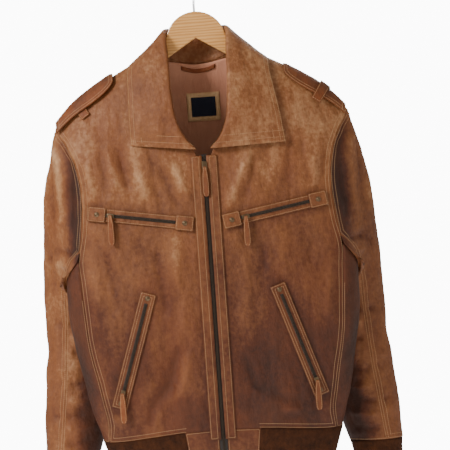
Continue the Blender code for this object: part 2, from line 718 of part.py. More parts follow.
def strip(name, start, end, width, low, high, finish, steps=5, across=2):
    """A straight strip on the front from start to end, both (x, z)."""
    a, b = Vector(start), Vector(end)
    side = Vector((-(b - a).y, (b - a).x)).normalized()
    places = []
    for u in spread(0, 1, steps):
        middle = a.lerp(b, u)
        places.append([tuple(middle + side * width * v) for v in spread(-0.5, 0.5, across)])
    return patch_wall(name, front, places, low, high, finish)


def block(name, x, z, along, size, low, finish):
    """A small bevelled block that sits on the front with its length along the given direction."""
    here, run, cross, outward = front_axes(x, z, along)
    mesh = bmesh.new()
    bmesh.ops.create_cube(mesh, size=1.0)
    for vert in mesh.verts:
        vert.co = run * vert.co.x * size[0] + cross * vert.co.y * size[1] + outward * vert.co.z * size[2]
    mesh.normal_update()
    bmesh.ops.recalc_face_normals(mesh, faces=mesh.faces)
    data = bpy.data.meshes.new(name)
    mesh.to_mesh(data)
    mesh.free()
    made = place(name, data, finish)
    made.location = here + outward * (low + size[2] / 2)
    bevel = made.modifiers.new("edges", 'BEVEL')
    bevel.width = 0.7 * MM
    bevel.segments = 1
    return made


RIVET_RADIUS = 4.2 * MM
RIVET_HEIGHT = 1.8 * MM


def rivet(name, x, z, low, finish):
    here, run, cross, outward = front_axes(x, z, (1, 0))
    mesh = bmesh.new()
    bmesh.ops.create_cone(mesh, cap_ends=True, segments=12, radius1=RIVET_RADIUS, radius2=RIVET_RADIUS * 0.6,
                          depth=RIVET_HEIGHT)
    data = bpy.data.meshes.new(name)
    mesh.to_mesh(data)
    mesh.free()
    data.shade_smooth()
    data.set_sharp_from_angle(angle=math.radians(30))
    made = place(name, data, finish)
    made.location = here + outward * (low + RIVET_HEIGHT / 2)
    made.rotation_mode = 'QUATERNION'
    made.rotation_quaternion = outward.to_track_quat('Z', 'Y')
    return made


PULL_THICK = 2.4 * MM
PULL_HALF_WIDTHS = ((-1.2, 2.6), (4, 3.4), (12, 4.6), (24, 5.4), (42, 5.6), (47, 4.6), (50, 2.4))


def zip_pull(name, x, z, low, finish):
    """A leather strap that hangs from its slider; its origin is on the hinge line."""
    here, run, cross, outward = front_axes(x, z, (1, 0))
    level = Vector((run.x, run.y, 0)).normalized()
    forward = level.cross(Vector((0, 0, 1))).normalized()
    outer, inner = [], []
    for down, half in PULL_HALF_WIDTHS:
        row = [level * (-half * MM), level * (half * MM)]
        outer.append([p + Vector((0, 0, -down * MM)) + forward * PULL_THICK / 2 for p in row])
        inner.append([p + Vector((0, 0, -down * MM)) - forward * PULL_THICK / 2 for p in row])
    made = loft_wall(name, outer, inner, finish)
    made.location = here + outward * low + forward * (PULL_THICK / 2 + 0.7 * MM)
    return made


WELT_LOW = 0.8 * MM
WELT_HIGH = WELT_LOW + 1.5 * MM
ZIP_LOW = WELT_HIGH + 0.4 * MM
ZIP_HIGH = ZIP_LOW + 1.0 * MM
TAB_LOW = ZIP_LOW
TAB_HIGH = TAB_LOW + 1.8 * MM
SLIDER_SIZE = (13 * MM, 8 * MM, 2.8 * MM)
POCKET_ZIP_WIDTH = 8 * MM

CHEST_WELT_WIDTH = 22 * MM
CHEST_TAB = (30 * MM, 25 * MM)
HIP_WELT_WIDTH = 27 * MM


def between(start, end, distance):
    """Point at a distance from start towards end, or beyond start where it is negative."""
    a, b = Vector(start), Vector(end)
    return tuple(a + (b - a).normalized() * distance)


def chest_pocket(hand, side, leather, metal, dark):
    inner, outer = (side * CHEST_INNER[0], CHEST_INNER[1]), (side * CHEST_OUTER[0], CHEST_OUTER[1])
    length = (Vector(outer) - Vector(inner)).length
    tab_reach = CHEST_TAB[0] / 2
    strip("chest_welt_" + hand, between(inner, outer, -4 * MM), between(inner, outer, length + 4 * MM),
          CHEST_WELT_WIDTH, WELT_LOW, WELT_HIGH, leather, steps=14)
    strip("chest_zip_" + hand, between(inner, outer, tab_reach + 0.5 * MM),
          between(inner, outer, length - tab_reach - 0.5 * MM), POCKET_ZIP_WIDTH, ZIP_LOW, ZIP_HIGH, dark, steps=10)
    for end, at in (("inner", 0), ("outer", length)):
        strip("chest_tab_{}_{}".format(end, hand), between(inner, outer, at - tab_reach),
              between(inner, outer, at + tab_reach), CHEST_TAB[1], TAB_LOW, TAB_HIGH, leather, steps=3)
        spot = between(inner, outer, at)
        rivet("chest_rivet_{}_{}".format(end, hand), spot[0], spot[1], TAB_HIGH + SEAM_GAP, metal)
    from_inner = tab_reach + 9 * MM
    spot = between(inner, outer, from_inner if side > 0 else length - from_inner)
    run = tuple(Vector(outer) - Vector(inner))
    direction = (run[0] / length, run[1] / length)
    block("chest_slider_" + hand, spot[0], spot[1], direction, SLIDER_SIZE, ZIP_HIGH + SEAM_GAP, metal)
    zip_pull("chest_pull_" + hand, spot[0], spot[1], ZIP_HIGH + SEAM_GAP + SLIDER_SIZE[2], leather)


def hip_pocket(hand, side, leather, metal, dark):
    top, bottom = (side * HIP_TOP[0], HIP_TOP[1]), (side * HIP_BOTTOM[0], HIP_BOTTOM[1])
    length = (Vector(bottom) - Vector(top)).length
    strip("hip_welt_" + hand, between(top, bottom, -9 * MM), between(top, bottom, length + 9 * MM),
          HIP_WELT_WIDTH, WELT_LOW, WELT_HIGH, leather, steps=9)
    strip("hip_zip_" + hand, between(top, bottom, 9 * MM), between(top, bottom, length - 9 * MM),
          POCKET_ZIP_WIDTH, ZIP_LOW, ZIP_HIGH, dark, steps=8)
    for end, spot in (("top", top), ("bottom", bottom)):
        rivet("hip_rivet_{}_{}".format(end, hand), spot[0], spot[1], WELT_HIGH + SEAM_GAP, metal)
    spot = between(top, bottom, length - 18 * MM)
    run = Vector(bottom) - Vector(top)
    block("hip_slider_" + hand, spot[0], spot[1], tuple(run / length), SLIDER_SIZE, ZIP_HIGH + SEAM_GAP, metal)
    zip_pull("hip_pull_" + hand, spot[0], spot[1], ZIP_HIGH + SEAM_GAP + SLIDER_SIZE[2], leather)


# Shoulders

epaulette_front = mm_curve((143, 13), (148, 20), (165, 26), (200, 26), (248, 17))
epaulette_behind = mm_curve((143, 6), (148, -1), (165, -5), (200, -5), (248, -4))


def even_drops(first, last, count):
    """Drops below the ridge, negative behind it, evenly spaced round the shoulder's curve."""
    def turn(q):
        return math.copysign(math.acos(1 - abs(q) / SHOULDER_ROUND), q)
    turns = spread(turn(first), turn(last), count)
    return [math.copysign(SHOULDER_ROUND * (1 - math.cos(t)), t) for t in turns]


LOOP_HALF = 7 * MM
LOOP_WALL = 1.2 * MM
EPAULETTE_WALL = 2 * MM
SHOULDER_LIFT = 1.9 * MM       # a flat strip bridges the shoulder's round a little


def epaulette(name, side, low, finish):
    places = []
    for x in [145 * MM, 150 * MM] + spread(160 * MM, 247 * MM, 7):
        ends = epaulette_behind(x), epaulette_front(x)
        places.append([(x * side, q) for q in even_drops(ends[0], ends[1], 7)])
    return patch_wall(name, over_shoulder, places, low, low + EPAULETTE_WALL, finish)


def epaulette_loop(name, side, low, finish):
    places = []
    for q in even_drops(-12 * MM, 40 * MM, 12):
        x = 214 * MM - 0.45 * q
        places.append([((x + v) * side, q) for v in (-LOOP_HALF, LOOP_HALF)])
    return patch_wall(name, over_shoulder, places, low, low + LOOP_WALL, finish)


# Inside the neck

LINING_HALF_X = 105 * MM
LINING_BOTTOM_Z = -400 * MM
LINING_FACE = -WALL - 2.9 * MM
LABEL_CENTRE = (5 * MM, -237 * MM)


def lining_back(finish):
    columns = spread(-LINING_HALF_X, LINING_HALF_X, 10)
    places = []
    for share in (0, 0.06, 0.14, 0.26, 0.42, 0.6, 0.8, 1):
        row = []
        for x in columns:
            top = min(neck_back_z(abs(x)), ridge_z(abs(x)) - 20 * MM) if abs(x) < 60 * MM \
                else ridge_z(abs(x)) - 20 * MM
            row.append((x, top + (LINING_BOTTOM_Z - top) * share))
        places.append(row)
    return patch_wall("lining_back", back, places, LINING_FACE, -WALL - 2.1 * MM, finish)


def on_lining(name, centre, width, height, low, high, finish):
    x, z = centre
    places = [[(x + width * u, z - height * v) for u in spread(-0.5, 0.5, 3)] for v in spread(-0.5, 0.5, 3)]
    return patch_wall(name, back, places, LINING_FACE - high, LINING_FACE - low, finish)


def hang_loop(finish):
    places = []
    for v in (-3.5, 3.5):
        row = []
        for x in spread(-30, 30, 6):
            row.append((x * MM, (-167 - 7 * (1 - (x / 30) ** 2) + v) * MM))
        places.append(row)
    return patch_wall("hang_loop", back, places, LINING_FACE - 2.0 * MM, LINING_FACE - 0.7 * MM, finish)


# The hanger

HANGER_TOP_Z = -75 * MM
HEAD_RADIUS = 52 * MM
ARM_CLEARANCE = 1.6 * MM
ARM_END_X = 204 * MM
NOTCH_Z = -121 * MM
NOTCH_SLOPE = 0.62
HANGER_THICK = 7 * MM
HANGER_Y = -1.2 * MM           # the deeper front leaves the wood a little forward
HANGER_EDGE = 2 * MM
HOOK_WIRE = 2 * MM             # radius
HOOK_INSIDE = 18 * MM          # inside radius of the hook


def arm_top(x):
    slope = (ridge_z(x + 1 * MM) - ridge_z(x - 1 * MM)) / (2 * MM)
    inset = WALL + ARM_CLEARANCE
    scale = inset / math.sqrt(1 + slope * slope)
    return Vector((x + slope * scale, ridge_z(x) - scale))


def hanger_outline():
    half = []
    head_centre = HANGER_TOP_Z - HEAD_RADIUS
    for degrees in range(90, 15, -10):
        rad = math.radians(degrees)
        point = Vector((HEAD_RADIUS * math.cos(rad), head_centre + HEAD_RADIUS * math.sin(rad)))
        if point.x < 52 * MM and point.y > arm_top(60 * MM).y:
            half.append(point)
    half += [arm_top(x) for x in spread(58 * MM, ARM_END_X, 8)]
    top = half[-1]
    bottom = Vector((ARM_END_X, NOTCH_Z - NOTCH_SLOPE * ARM_END_X))
    half.append(Vector((ARM_END_X + 5 * MM, (top.y * 2 + bottom.y) / 3)))
    half.append(Vector((ARM_END_X + 5 * MM, (top.y + bottom.y * 2) / 3)))
    half.append(bottom)
    half.append(Vector((0, NOTCH_Z)))
    return half + [Vector((-p.x, p.y)) for p in half[-2:0:-1]]


def hanger_body(finish):
    curve = bpy.data.curves.new("hanger_body", 'CURVE')
    curve.dimensions = '2D'
    curve.fill_mode = 'BOTH'
    curve.extrude = HANGER_THICK / 2 - HANGER_EDGE
    curve.bevel_depth = HANGER_EDGE
    curve.bevel_resolution = 1
    curve.offset = -HANGER_EDGE
    points = hanger_outline()
    spline = curve.splines.new('POLY')
    spline.points.add(len(points) - 1)
    for spot, point in zip(spline.points, points):
        spot.co = (point.x, point.y, 0, 1)
    spline.use_cyclic_u = True
    curve.materials.append(finish)
    made = bpy.data.objects.new("hanger_body", curve)
    made.rotation_euler = (math.radians(90), 0, 0)
    made.location.y = HANGER_Y
    jacket.objects.link(made)
    return made


def hanger_hook(finish):
    """A wire that rises from the head and turns over; its inside top is the origin."""
    radius = HOOK_INSIDE + HOOK_WIRE
    centre = Vector((0, -HOOK_INSIDE))
    route = [Vector((0, HANGER_TOP_Z + SEAM_GAP)), Vector((0, -62 * MM)), Vector((0.5 * MM, -54 * MM)),
             Vector((5 * MM, -45 * MM))]
    for degrees in range(-55, 206, 15):
        rad = math.radians(degrees)
        route.append(centre + Vector((math.cos(rad), math.sin(rad))) * radius)
    curve = bpy.data.curves.new("hanger_hook", 'CURVE')
    curve.dimensions = '3D'
    curve.bevel_depth = HOOK_WIRE
    curve.bevel_resolution = 2
    curve.use_fill_caps = True
    spline = curve.splines.new('POLY')
    spline.points.add(len(route) - 1)
    for spot, point in zip(spline.points, route):
        spot.co = (point.x, 0, point.y, 1)
    curve.materials.append(finish)
    made = bpy.data.objects.new("hanger_hook", curve)
    jacket.objects.link(made)
    return made


# The whole jacket

for old in list(bpy.data.objects):
    bpy.data.objects.remove(old, do_unlink=True)
jacket = bpy.data.collections.new("leather_jacket")
bpy.context.scene.collection.children.link(jacket)
collar_hand = 1

leather = material("brown_leather", (0.26, 0.12, 0.055), 0.5)
rib_knit = material("dark_rib_knit", (0.035, 0.02, 0.014), 0.9)
metal = material("aged_metal", (0.35, 0.32, 0.28), 0.4, 1.0)
zip_tape = material("dark_zip", (0.03, 0.02, 0.016), 0.6)
lining_cloth = material("brown_lining", (0.17, 0.09, 0.055), 0.7)
label_cloth = material("navy_label", (0.01, 0.014, 0.03), 0.7)
wood = material("pale_wood", (0.68, 0.43, 0.21), 0.45)

hanger_body(wood)
hanger_hook(metal)
back_panel("back_panel", leather)
build_collar(leather)
lining_back(lining_cloth)
on_lining("label_frame", LABEL_CENTRE, 58 * MM, 50 * MM, 0.8 * MM, 1.9 * MM, leather)
on_lining("label", LABEL_CENTRE, 43 * MM, 34 * MM, 2.3 * MM, 2.9 * MM, label_cloth)
hang_loop(leather)
front_zip(zip_tape)
block("front_zip_slider", 0, CLOSE_ZIP_Z, (0, 1), (15 * MM, 9 * MM, 3 * MM), 0.6 * MM + SEAM_GAP, metal)
zip_pull("front_zip_pull", 0, CLOSE_ZIP_Z - 3 * MM, 3.6 * MM + SEAM_GAP, leather)
hem_rib(rib_knit)

under_turns = ([FRONT_SLEEVE_SEAM + SLEEVE_SEAM_TURN] + spread(FRONT_SEAM_TURN, BACK_SEAM_TURN, SIDE_COLUMNS)
               + [229, 245, BACK_SLEEVE_SEAM - SLEEVE_SEAM_TURN])
for hand, side in (("left", 1), ("right", -1)):
    front_panel("front_" + hand, side, leather)
    side_panel("side_" + hand, side, leather)
    placket("placket_" + hand, side, leather)
    waist_tab("waist_tab_" + hand, side, leather)
    sleeve_piece("sleeve_upper_" + hand, side, UPPER_TURNS, leather)
    sleeve_piece("sleeve_under_" + hand, side, under_turns, leather)
    cuff("cuff_" + hand, side, rib_knit)
    chest_pocket(hand, side, leather, metal, zip_tape)
    hip_pocket(hand, side, leather, metal, zip_tape)
    loop_under = side < 0
    epaulette("epaulette_" + hand, side, SHOULDER_LIFT + (LOOP_WALL + SHOULDER_LIFT if loop_under else 0), leather)
    epaulette_loop("epaulette_loop_" + hand, side,
                   SHOULDER_LIFT + (0 if loop_under else EPAULETTE_WALL + SHOULDER_LIFT), leather)
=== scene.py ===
"""Looks of the worn leather jacket on its hanger: leather shells, knit, sewing, zips, wood and light."""
import math

import bmesh
import bpy
import numpy as np
from mathutils import Matrix, Vector, noise
from mathutils.bvhtree import BVHTree
from mathutils.kdtree import KDTree


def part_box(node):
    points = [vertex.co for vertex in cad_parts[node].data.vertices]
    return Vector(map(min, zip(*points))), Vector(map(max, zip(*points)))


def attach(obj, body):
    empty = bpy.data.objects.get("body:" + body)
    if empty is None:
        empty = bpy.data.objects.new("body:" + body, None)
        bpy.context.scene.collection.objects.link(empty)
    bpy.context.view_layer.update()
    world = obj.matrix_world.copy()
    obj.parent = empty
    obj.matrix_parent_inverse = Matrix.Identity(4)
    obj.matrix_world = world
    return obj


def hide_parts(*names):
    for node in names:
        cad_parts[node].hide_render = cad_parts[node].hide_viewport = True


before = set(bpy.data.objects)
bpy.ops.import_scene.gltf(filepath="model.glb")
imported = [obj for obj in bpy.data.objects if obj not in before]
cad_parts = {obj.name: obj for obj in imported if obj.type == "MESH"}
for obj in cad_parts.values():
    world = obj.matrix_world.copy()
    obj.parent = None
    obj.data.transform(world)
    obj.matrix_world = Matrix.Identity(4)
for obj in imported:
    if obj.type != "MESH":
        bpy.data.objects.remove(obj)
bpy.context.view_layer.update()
MM = 0.001
SIDES = (("left", 1), ("right", -1))


# The studio: a plain pale floor well below the jacket, a white room, three soft lights and a long
# lens from the front, turned a little as in the photograph
def material(name, roughness=0.5, metallic=0.0):
    made = bpy.data.materials.new(name)
    made.use_nodes = True
    shader = made.node_tree.nodes["Principled BSDF"]
    shader.inputs["Roughness"].default_value = roughness
    shader.inputs["Metallic"].default_value = metallic
    return made, made.node_tree, shader


def tone(red, green, blue):
    """A colour as seen on a screen, 0 to 255, as the linear colour that a shader takes."""
    seen = [v / 255 for v in (red, green, blue)]
    return [v / 12.92 if v <= 0.04045 else ((v + 0.055) / 1.055) ** 2.4 for v in seen] + [1.0]


FLOOR_Z = -1.04
FLOOR_HALF = 1.3
floor_mesh = bpy.data.meshes.new("floor")
floor_corners = [(x * FLOOR_HALF, y * FLOOR_HALF, FLOOR_Z)
                 for x, y in ((-1, -1), (1, -1), (1, 1), (-1, 1))]
floor_mesh.from_pydata(floor_corners, [], [(0, 1, 2, 3)])
floor = bpy.data.objects.new("floor", floor_mesh)
bpy.context.scene.collection.objects.link(floor)
floor_finish, _, floor_shader = material("pale_floor", 0.8)
floor_shader.inputs["Base Color"].default_value = tone(252, 252, 250)
floor_shader.inputs["Emission Color"].default_value = (1, 1, 1, 1)
floor_shader.inputs["Emission Strength"].default_value = 0.55
floor_mesh.materials.append(floor_finish)

room = bpy.data.worlds.new("white_room")
room.use_nodes = True
room_light = room.node_tree.nodes["Background"]
room_light.inputs["Color"].default_value = (1.0, 0.95, 0.87, 1)
room_light.inputs["Strength"].default_value = 0.5
white_wall = room.node_tree.nodes.new("ShaderNodeBackground")
white_wall.inputs["Strength"].default_value = 14.0
seen_directly = room.node_tree.nodes.new("ShaderNodeLightPath")
either = room.node_tree.nodes.new("ShaderNodeMixShader")
room.node_tree.links.new(seen_directly.outputs["Is Camera Ray"], either.inputs["Fac"])
room.node_tree.links.new(room_light.outputs[0], either.inputs[1])
room.node_tree.links.new(white_wall.outputs[0], either.inputs[2])
room.node_tree.links.new(either.outputs[0], room.node_tree.nodes["World Output"].inputs["Surface"])
bpy.context.scene.world = room


def soft_light(name, place, target, size, power):
    data = bpy.data.lights.new(name, "AREA")
    data.size, data.energy = size, power
    lamp = bpy.data.objects.new(name, data)
    lamp.location = place
    lamp.rotation_euler = (Vector(target) - Vector(place)).to_track_quat("-Z", "Y").to_euler()
    bpy.context.scene.collection.objects.link(lamp)


CHEST = (0, -0.05, -0.45)
soft_light("key", (-1.7, -1.4, 0.8), CHEST, 0.7, 62)
soft_light("fill", (1.9, -1.6, -0.1), CHEST, 1.5, 7)
soft_light("back", (0.6, 1.9, 0.7), CHEST, 1.4, 17)

VIEW_CENTRE = Vector((27.7, -50, -446.8)) * MM
VIEW_WIDTH = 765 * MM
VIEW_DISTANCE = 3.0
VIEW_ROLL = math.radians(4)
lens = bpy.data.cameras.new("camera")
lens.sensor_width = 36
lens.lens = lens.sensor_width * VIEW_DISTANCE / VIEW_WIDTH
camera = bpy.data.objects.new("camera", lens)
right_way = Vector((math.cos(VIEW_ROLL), 0, -math.sin(VIEW_ROLL)))
up_way = Vector((math.sin(VIEW_ROLL), 0, math.cos(VIEW_ROLL)))
camera.matrix_world = Matrix.Translation(VIEW_CENTRE - Vector((0, VIEW_DISTANCE, 0))) @ Matrix(
    (right_way, up_way, Vector((0, -1, 0)))).transposed().to_4x4()
bpy.context.scene.collection.objects.link(camera)
bpy.context.scene.camera = camera


# Leather: worn sheepskin, dyed in two browns, rubbed pale on folds and edges, with painted shade in its
# creases.
# Each piece's rubbed wear and its painted light and shade are kept on its points: above 0 is paler, below 0
# is darker.
def add(tree, kind, **inputs):
    node = tree.nodes.new(kind)
    for name, value in inputs.items():
        node.inputs[name.replace("_", " ")].default_value = value
    return node


def ramp(tree, source, stops):
    node = tree.nodes.new("ShaderNodeValToRGB")
    while len(node.color_ramp.elements) < len(stops):
        node.color_ramp.elements.new(0.5)
    for element, (place, colour) in zip(node.color_ramp.elements, stops):
        element.position = place
        element.color = colour
    tree.links.new(source, node.inputs["Fac"])
    return node.outputs["Color"]


def sums(tree, terms):
    """The sum of sources, each times its share."""
    total = None
    for source, share in terms:
        node = add(tree, "ShaderNodeMath")
        node.operation = "MULTIPLY_ADD"
        node.inputs[1].default_value = share
        tree.links.new(source, node.inputs[0])
        if total is None:
            node.inputs[2].default_value = 0.0
        else:
            tree.links.new(total, node.inputs[2])
        total = node.outputs[0]
    return total


def mottle(tree, scale, detail=4.0, stretch=(1, 1, 1)):
    """Cloudy noise, scale in waves a metre."""
    where = tree.nodes.new("ShaderNodeTexCoord")
    mapping = add(tree, "ShaderNodeMapping", Scale=stretch, Rotation=(0.0, 0.13, 0.0))
    made = add(tree, "ShaderNodeTexNoise", Scale=scale, Detail=detail, Roughness=0.6)
    tree.links.new(where.outputs["Object"], mapping.inputs["Vector"])
    tree.links.new(mapping.outputs["Vector"], made.inputs["Vector"])
    return made.outputs["Fac"]


def bumps(tree, shader, layers):
    """Relief from sources, each with its depth in metres."""
    last = None
    for source, depth in layers:
        node = add(tree, "ShaderNodeBump", Strength=1.0, Distance=depth)
        tree.links.new(source, node.inputs["Height"])
        if last is not None:
            tree.links.new(last, node.inputs["Normal"])
        last = node.outputs["Normal"]
    tree.links.new(last, shader.inputs["Normal"])


def attribute(tree, name):
    node = tree.nodes.new("ShaderNodeAttribute")
    node.attribute_name = name
    return node.outputs["Fac"]


def leather(name, dark, middle, pale, rust, patches):
    """Grained leather. rust colours cloudy patches, as strongly as patches says, from 0 to 1."""
    made, tree, shader = material(name, 0.47)
    shader.inputs["Specular IOR Level"].default_value = 0.34
    cloud, streak = mottle(tree, 8, 4, (1, 1, 0.6)), mottle(tree, 20, 6, (1.4, 1.4, 0.7))
    fine = mottle(tree, 150, 5)
    amount = sums(tree, [(cloud, 0.26), (streak, 0.42), (fine, 0.36), (attribute(tree, "wear_and_painted_shade"), 0.66)])
    half_way = [(a + b) / 2 for a, b in zip(dark, middle)]
    # The darkest stop is painted shadow, reached where painted shade falls by the armholes and in creases.
    painted_shadow_tone = [v * 0.4 for v in dark[:3]] + [1.0]
    base = ramp(tree, amount, [(0.06, painted_shadow_tone), (0.28, dark), (0.43, half_way), (0.57, middle), (0.84, pale)])
    warm_cloud = mottle(tree, 9, 5, (1.2, 1.2, 0.6))
    warm = ramp(tree, warm_cloud, [(0.44, (0, 0, 0, 1)), (0.66, (patches,) * 3 + (1,))])
    blend = tree.nodes.new("ShaderNodeMix")
    blend.data_type = "RGBA"
    blend.inputs["B"].default_value = rust
    tree.links.new(warm, blend.inputs["Factor"])
    tree.links.new(base, blend.inputs["A"])
    tree.links.new(blend.outputs["Result"], shader.inputs["Base Color"])
    gloss = ramp(tree, amount, [(0.3, (0.62,) * 3 + (1,)), (0.9, (0.40,) * 3 + (1,))])
    tree.links.new(gloss, shader.inputs["Roughness"])
    grain = add(tree, "ShaderNodeTexVoronoi", Scale=620.0)
    grain.feature = "DISTANCE_TO_EDGE"
    where = tree.nodes.new("ShaderNodeTexCoord")
    tree.links.new(where.outputs["Object"], grain.inputs["Vector"])
    edge = ramp(tree, grain.outputs["Distance"], [(0.0, (0, 0, 0, 1)), (0.12, (1, 1, 1, 1))])
    bumps(tree, shader, [(mottle(tree, 18, 2, (1.3, 1.3, 0.6)), 0.008),
                         (mottle(tree, 60, 5, (1.2, 1.2, 0.7)), 0.0034),
                         (mottle(tree, 260, 3), 0.0004), (edge, 0.00012)])
    return made


# Shells: each cut piece of leather or cloth is a fine closed copy of its solid's form, 1 to 2 mm thick,
# with its creases pressed in and its cut edges kept crisp
SHARP = math.radians(62)          # a steeper turn than this is a cut edge
FLAT_PAIR = math.radians(40)      # two triangles that turn less than this make one four-sided face


def outer_skin(mesh, outward):
    """Of the groups of faces between cut edges, the one that outward favours, or else the largest."""
    left_over, groups = set(mesh.faces), []
    while left_over:
        group, todo = set(), [left_over.pop()]
        while todo:
            face = todo.pop()
            group.add(face)
            for edge in face.edges:
                if edge.calc_face_angle(math.pi) < SHARP:
                    near = [f for f in edge.link_faces if f in left_over]
                    left_over.difference_update(near)
                    todo.extend(near)
        groups.append(group)

    def facing(group):
        if outward is None:
            return sum(f.calc_area() for f in group)
        return sum(f.calc_area() * f.normal.dot(outward(f.calc_center_median())) for f in group)

    return max(groups, key=facing)


def form_of(node, levels, outward=None):
    """A finer copy of a node's solid, smooth over its faces, with its cut edges kept sharp.

    Returns the mesh, which of its points lie on the outer skin, and the outer skin's rim as runs
    of points between corners, each with the way in from the edge.
    """
    mesh = bmesh.new()
    mesh.from_mesh(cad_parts[node].data)
    bmesh.ops.remove_doubles(mesh, verts=mesh.verts, dist=1e-6)
    bmesh.ops.join_triangles(mesh, faces=mesh.faces, angle_face_threshold=FLAT_PAIR,
                             angle_shape_threshold=math.pi)
    mesh.normal_update()
    outer = outer_skin(mesh, outward)
    crease = mesh.edges.layers.float.new("crease_edge")
    for edge in mesh.edges:
        if edge.calc_face_angle(0) > SHARP:
            edge[crease] = 1.0
    skin = mesh.verts.layers.float.new("outer")
    for face in outer:
        for vert in face.verts:
            vert[skin] = 1.0
    runs = rim_runs(outer)
    data = bpy.data.meshes.new(node + "_rough")
    mesh.to_mesh(data)
    mesh.free()
    rough = bpy.data.objects.new(node + "_rough", data)
    bpy.context.scene.collection.objects.link(rough)
    smooth = rough.modifiers.new("smooth", "SUBSURF")
    smooth.levels = smooth.render_levels = levels
    fine = bpy.data.meshes.new_from_object(rough.evaluated_get(bpy.context.evaluated_depsgraph_get()))
    bpy.data.objects.remove(rough)
    on_outer = np.zeros(len(fine.vertices))
    fine.attributes["outer"].data.foreach_get("value", on_outer)
    return fine, on_outer, runs


def rim_runs(skin):
    """The rim of a skin, cut at its corners into runs of (point, way in from the edge, surface normal)."""
    after = {}
    for face in skin:
        for loop in face.loops:
            if not any(f in skin for f in loop.edge.link_faces if f is not face):
                after[loop.vert] = (loop.link_loop_next.vert, face)
    runs, todo = [], set(after)
    while todo:
        start = vert = todo.pop()
        chain = []
        while True:
            chain.append(vert)
            vert = after[vert][0]
            if vert is start or vert not in todo:
                break
            todo.discard(vert)
        ways = []
        for vert in chain:
            beyond, face = after[vert]
            ways.append(face.normal.cross(beyond.co - vert.co).normalized())
        count = len(chain)
        turned = [ways[i - 1].dot(ways[i]) < 0.8 for i in range(count)]
        points = []
        for i, vert in enumerate(chain):
            a, b = ways[i - 1], ways[i]
            points.append((vert.co.copy(), (a + b) / max(0.3, 1 + a.dot(b)), after[vert][1].normal.copy()))
        first = turned.index(True) if True in turned else 0
        run = []
        for k in range(count + 1):
            i = (first + k) % count
            run.append(points[i])
            if k and (turned[i] or k == count):
                runs.append(run)
                run = [points[i]]
    return runs


def smooth_step(value):
    value = np.clip(value, 0, 1)
    return value * value * (3 - 2 * value)


def away_from(line, x, z):
    """How far each point is from a straight line between two points, as seen from the front."""
    (ax, az), (bx, bz) = line
    dx, dz = bx - ax, bz - az
    share = np.clip(((x - ax) * dx + (z - az) * dz) / (dx * dx + dz * dz), 0, 1)
    return np.hypot(x - ax - share * dx, z - az - share * dz)


def crease_lift(folds, u, v):
    """Sum of soft ridges and troughs. A fold is (height, half width, points) in millimetres."""
    total = np.zeros(len(u))
    for height, width, points in folds:
        best = np.full(len(u), 1e9)
        for line in zip(points, points[1:]):
            best = np.minimum(best, away_from(line, u, v))
        ends = np.ones(len(u))
        for x, z in (points[0], points[-1]):
            ends *= smooth_step(np.hypot(u - x, v - z) / (2.2 * width))
        total += height * np.exp(-(best / width) ** 1.5) * ends
    return total


def ripple(co, scale, stretch=(1, 1, 1), seed=0.0):
    """Noise at each point, from -1 to 1."""
    k = np.array(stretch) * scale
    return np.array([noise.noise(Vector(p) + Vector((seed, 0, 0))) for p in co * k])


FOLDED = 3      # subdivisions of the pieces with fine folds
PLAIN = 2                            # and of all others
FOLD_DEPTH = 1.9                     # how much deeper folds are pressed than their tables say
NO_RIM = 99.0
shell_tree = {}
shell_runs = {}


def shell(name, node, finish, levels=PLAIN, outward=None, lift=None, body="jacket",
          shade=None, move=None, rim_wear=0.07):
    """A piece on a node's form.

    lift(points) gives each point's way outward in millimetres and shade(points) its painted light and shade;
    move(points) gives new places. The outer skin and its rim are kept for the sewing.
    """
    mesh, outer, runs = form_of(node, levels, outward)
    count = len(mesh.vertices)
    co, normal = np.zeros(count * 3), np.zeros(count * 3)
    mesh.vertices.foreach_get("co", co)
    mesh.vertices.foreach_get("normal", normal)
    co, normal = co.reshape(-1, 3), normal.reshape(-1, 3)
    if move is not None:
        co = move(co)
        mesh.vertices.foreach_set("co", co.ravel())
    on_rim = [a[0].lerp(b[0], k / 8) for run in runs for a, b in zip(run, run[1:]) for k in range(8)]
    rim = KDTree(len(on_rim))
    for index, point in enumerate(on_rim):
        rim.insert(point, index)
    rim.balance()
    from_rim = np.array([rim.find(p)[2] for p in co]) / MM if on_rim else np.full(count, NO_RIM)
    wear_and_painted_shade = rim_wear * np.exp(-from_rim / 3.5) * outer
    if lift is not None:
        height = lift(co) * smooth_step(from_rim / 14)
        side = np.where(outer > 0.5, 1.0, -1.0)
        co = co + normal * (side * height * MM)[:, None]
        # Fold ridges paler, as rubbed wear, and troughs darker, as painted shade in the creases.
        wear_and_painted_shade += np.clip(height * 0.055, -0.26, 0.26)
        mesh.vertices.foreach_set("co", co.ravel())
    # Painted light and shade over the piece, from its shade function.
    if shade is not None:
        wear_and_painted_shade += shade(co)
    layer = mesh.attributes.new("wear_and_painted_shade", "FLOAT", "POINT")
    layer.data.foreach_set("value", wear_and_painted_shade)
    mesh.materials.clear()
    mesh.materials.append(finish)
    mesh.shade_smooth()
    mesh.update()
    made = bpy.data.objects.new(name, mesh)
    bpy.context.scene.collection.objects.link(made)
    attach(made, body)
    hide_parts(node)
    skin = [tuple(f.vertices) for f in mesh.polygons if all(outer[i] > 0.4 for i in f.vertices)]
    shell_tree[node] = BVHTree.FromPolygons([tuple(p) for p in co], skin)
    shell_runs[node] = runs
    return made


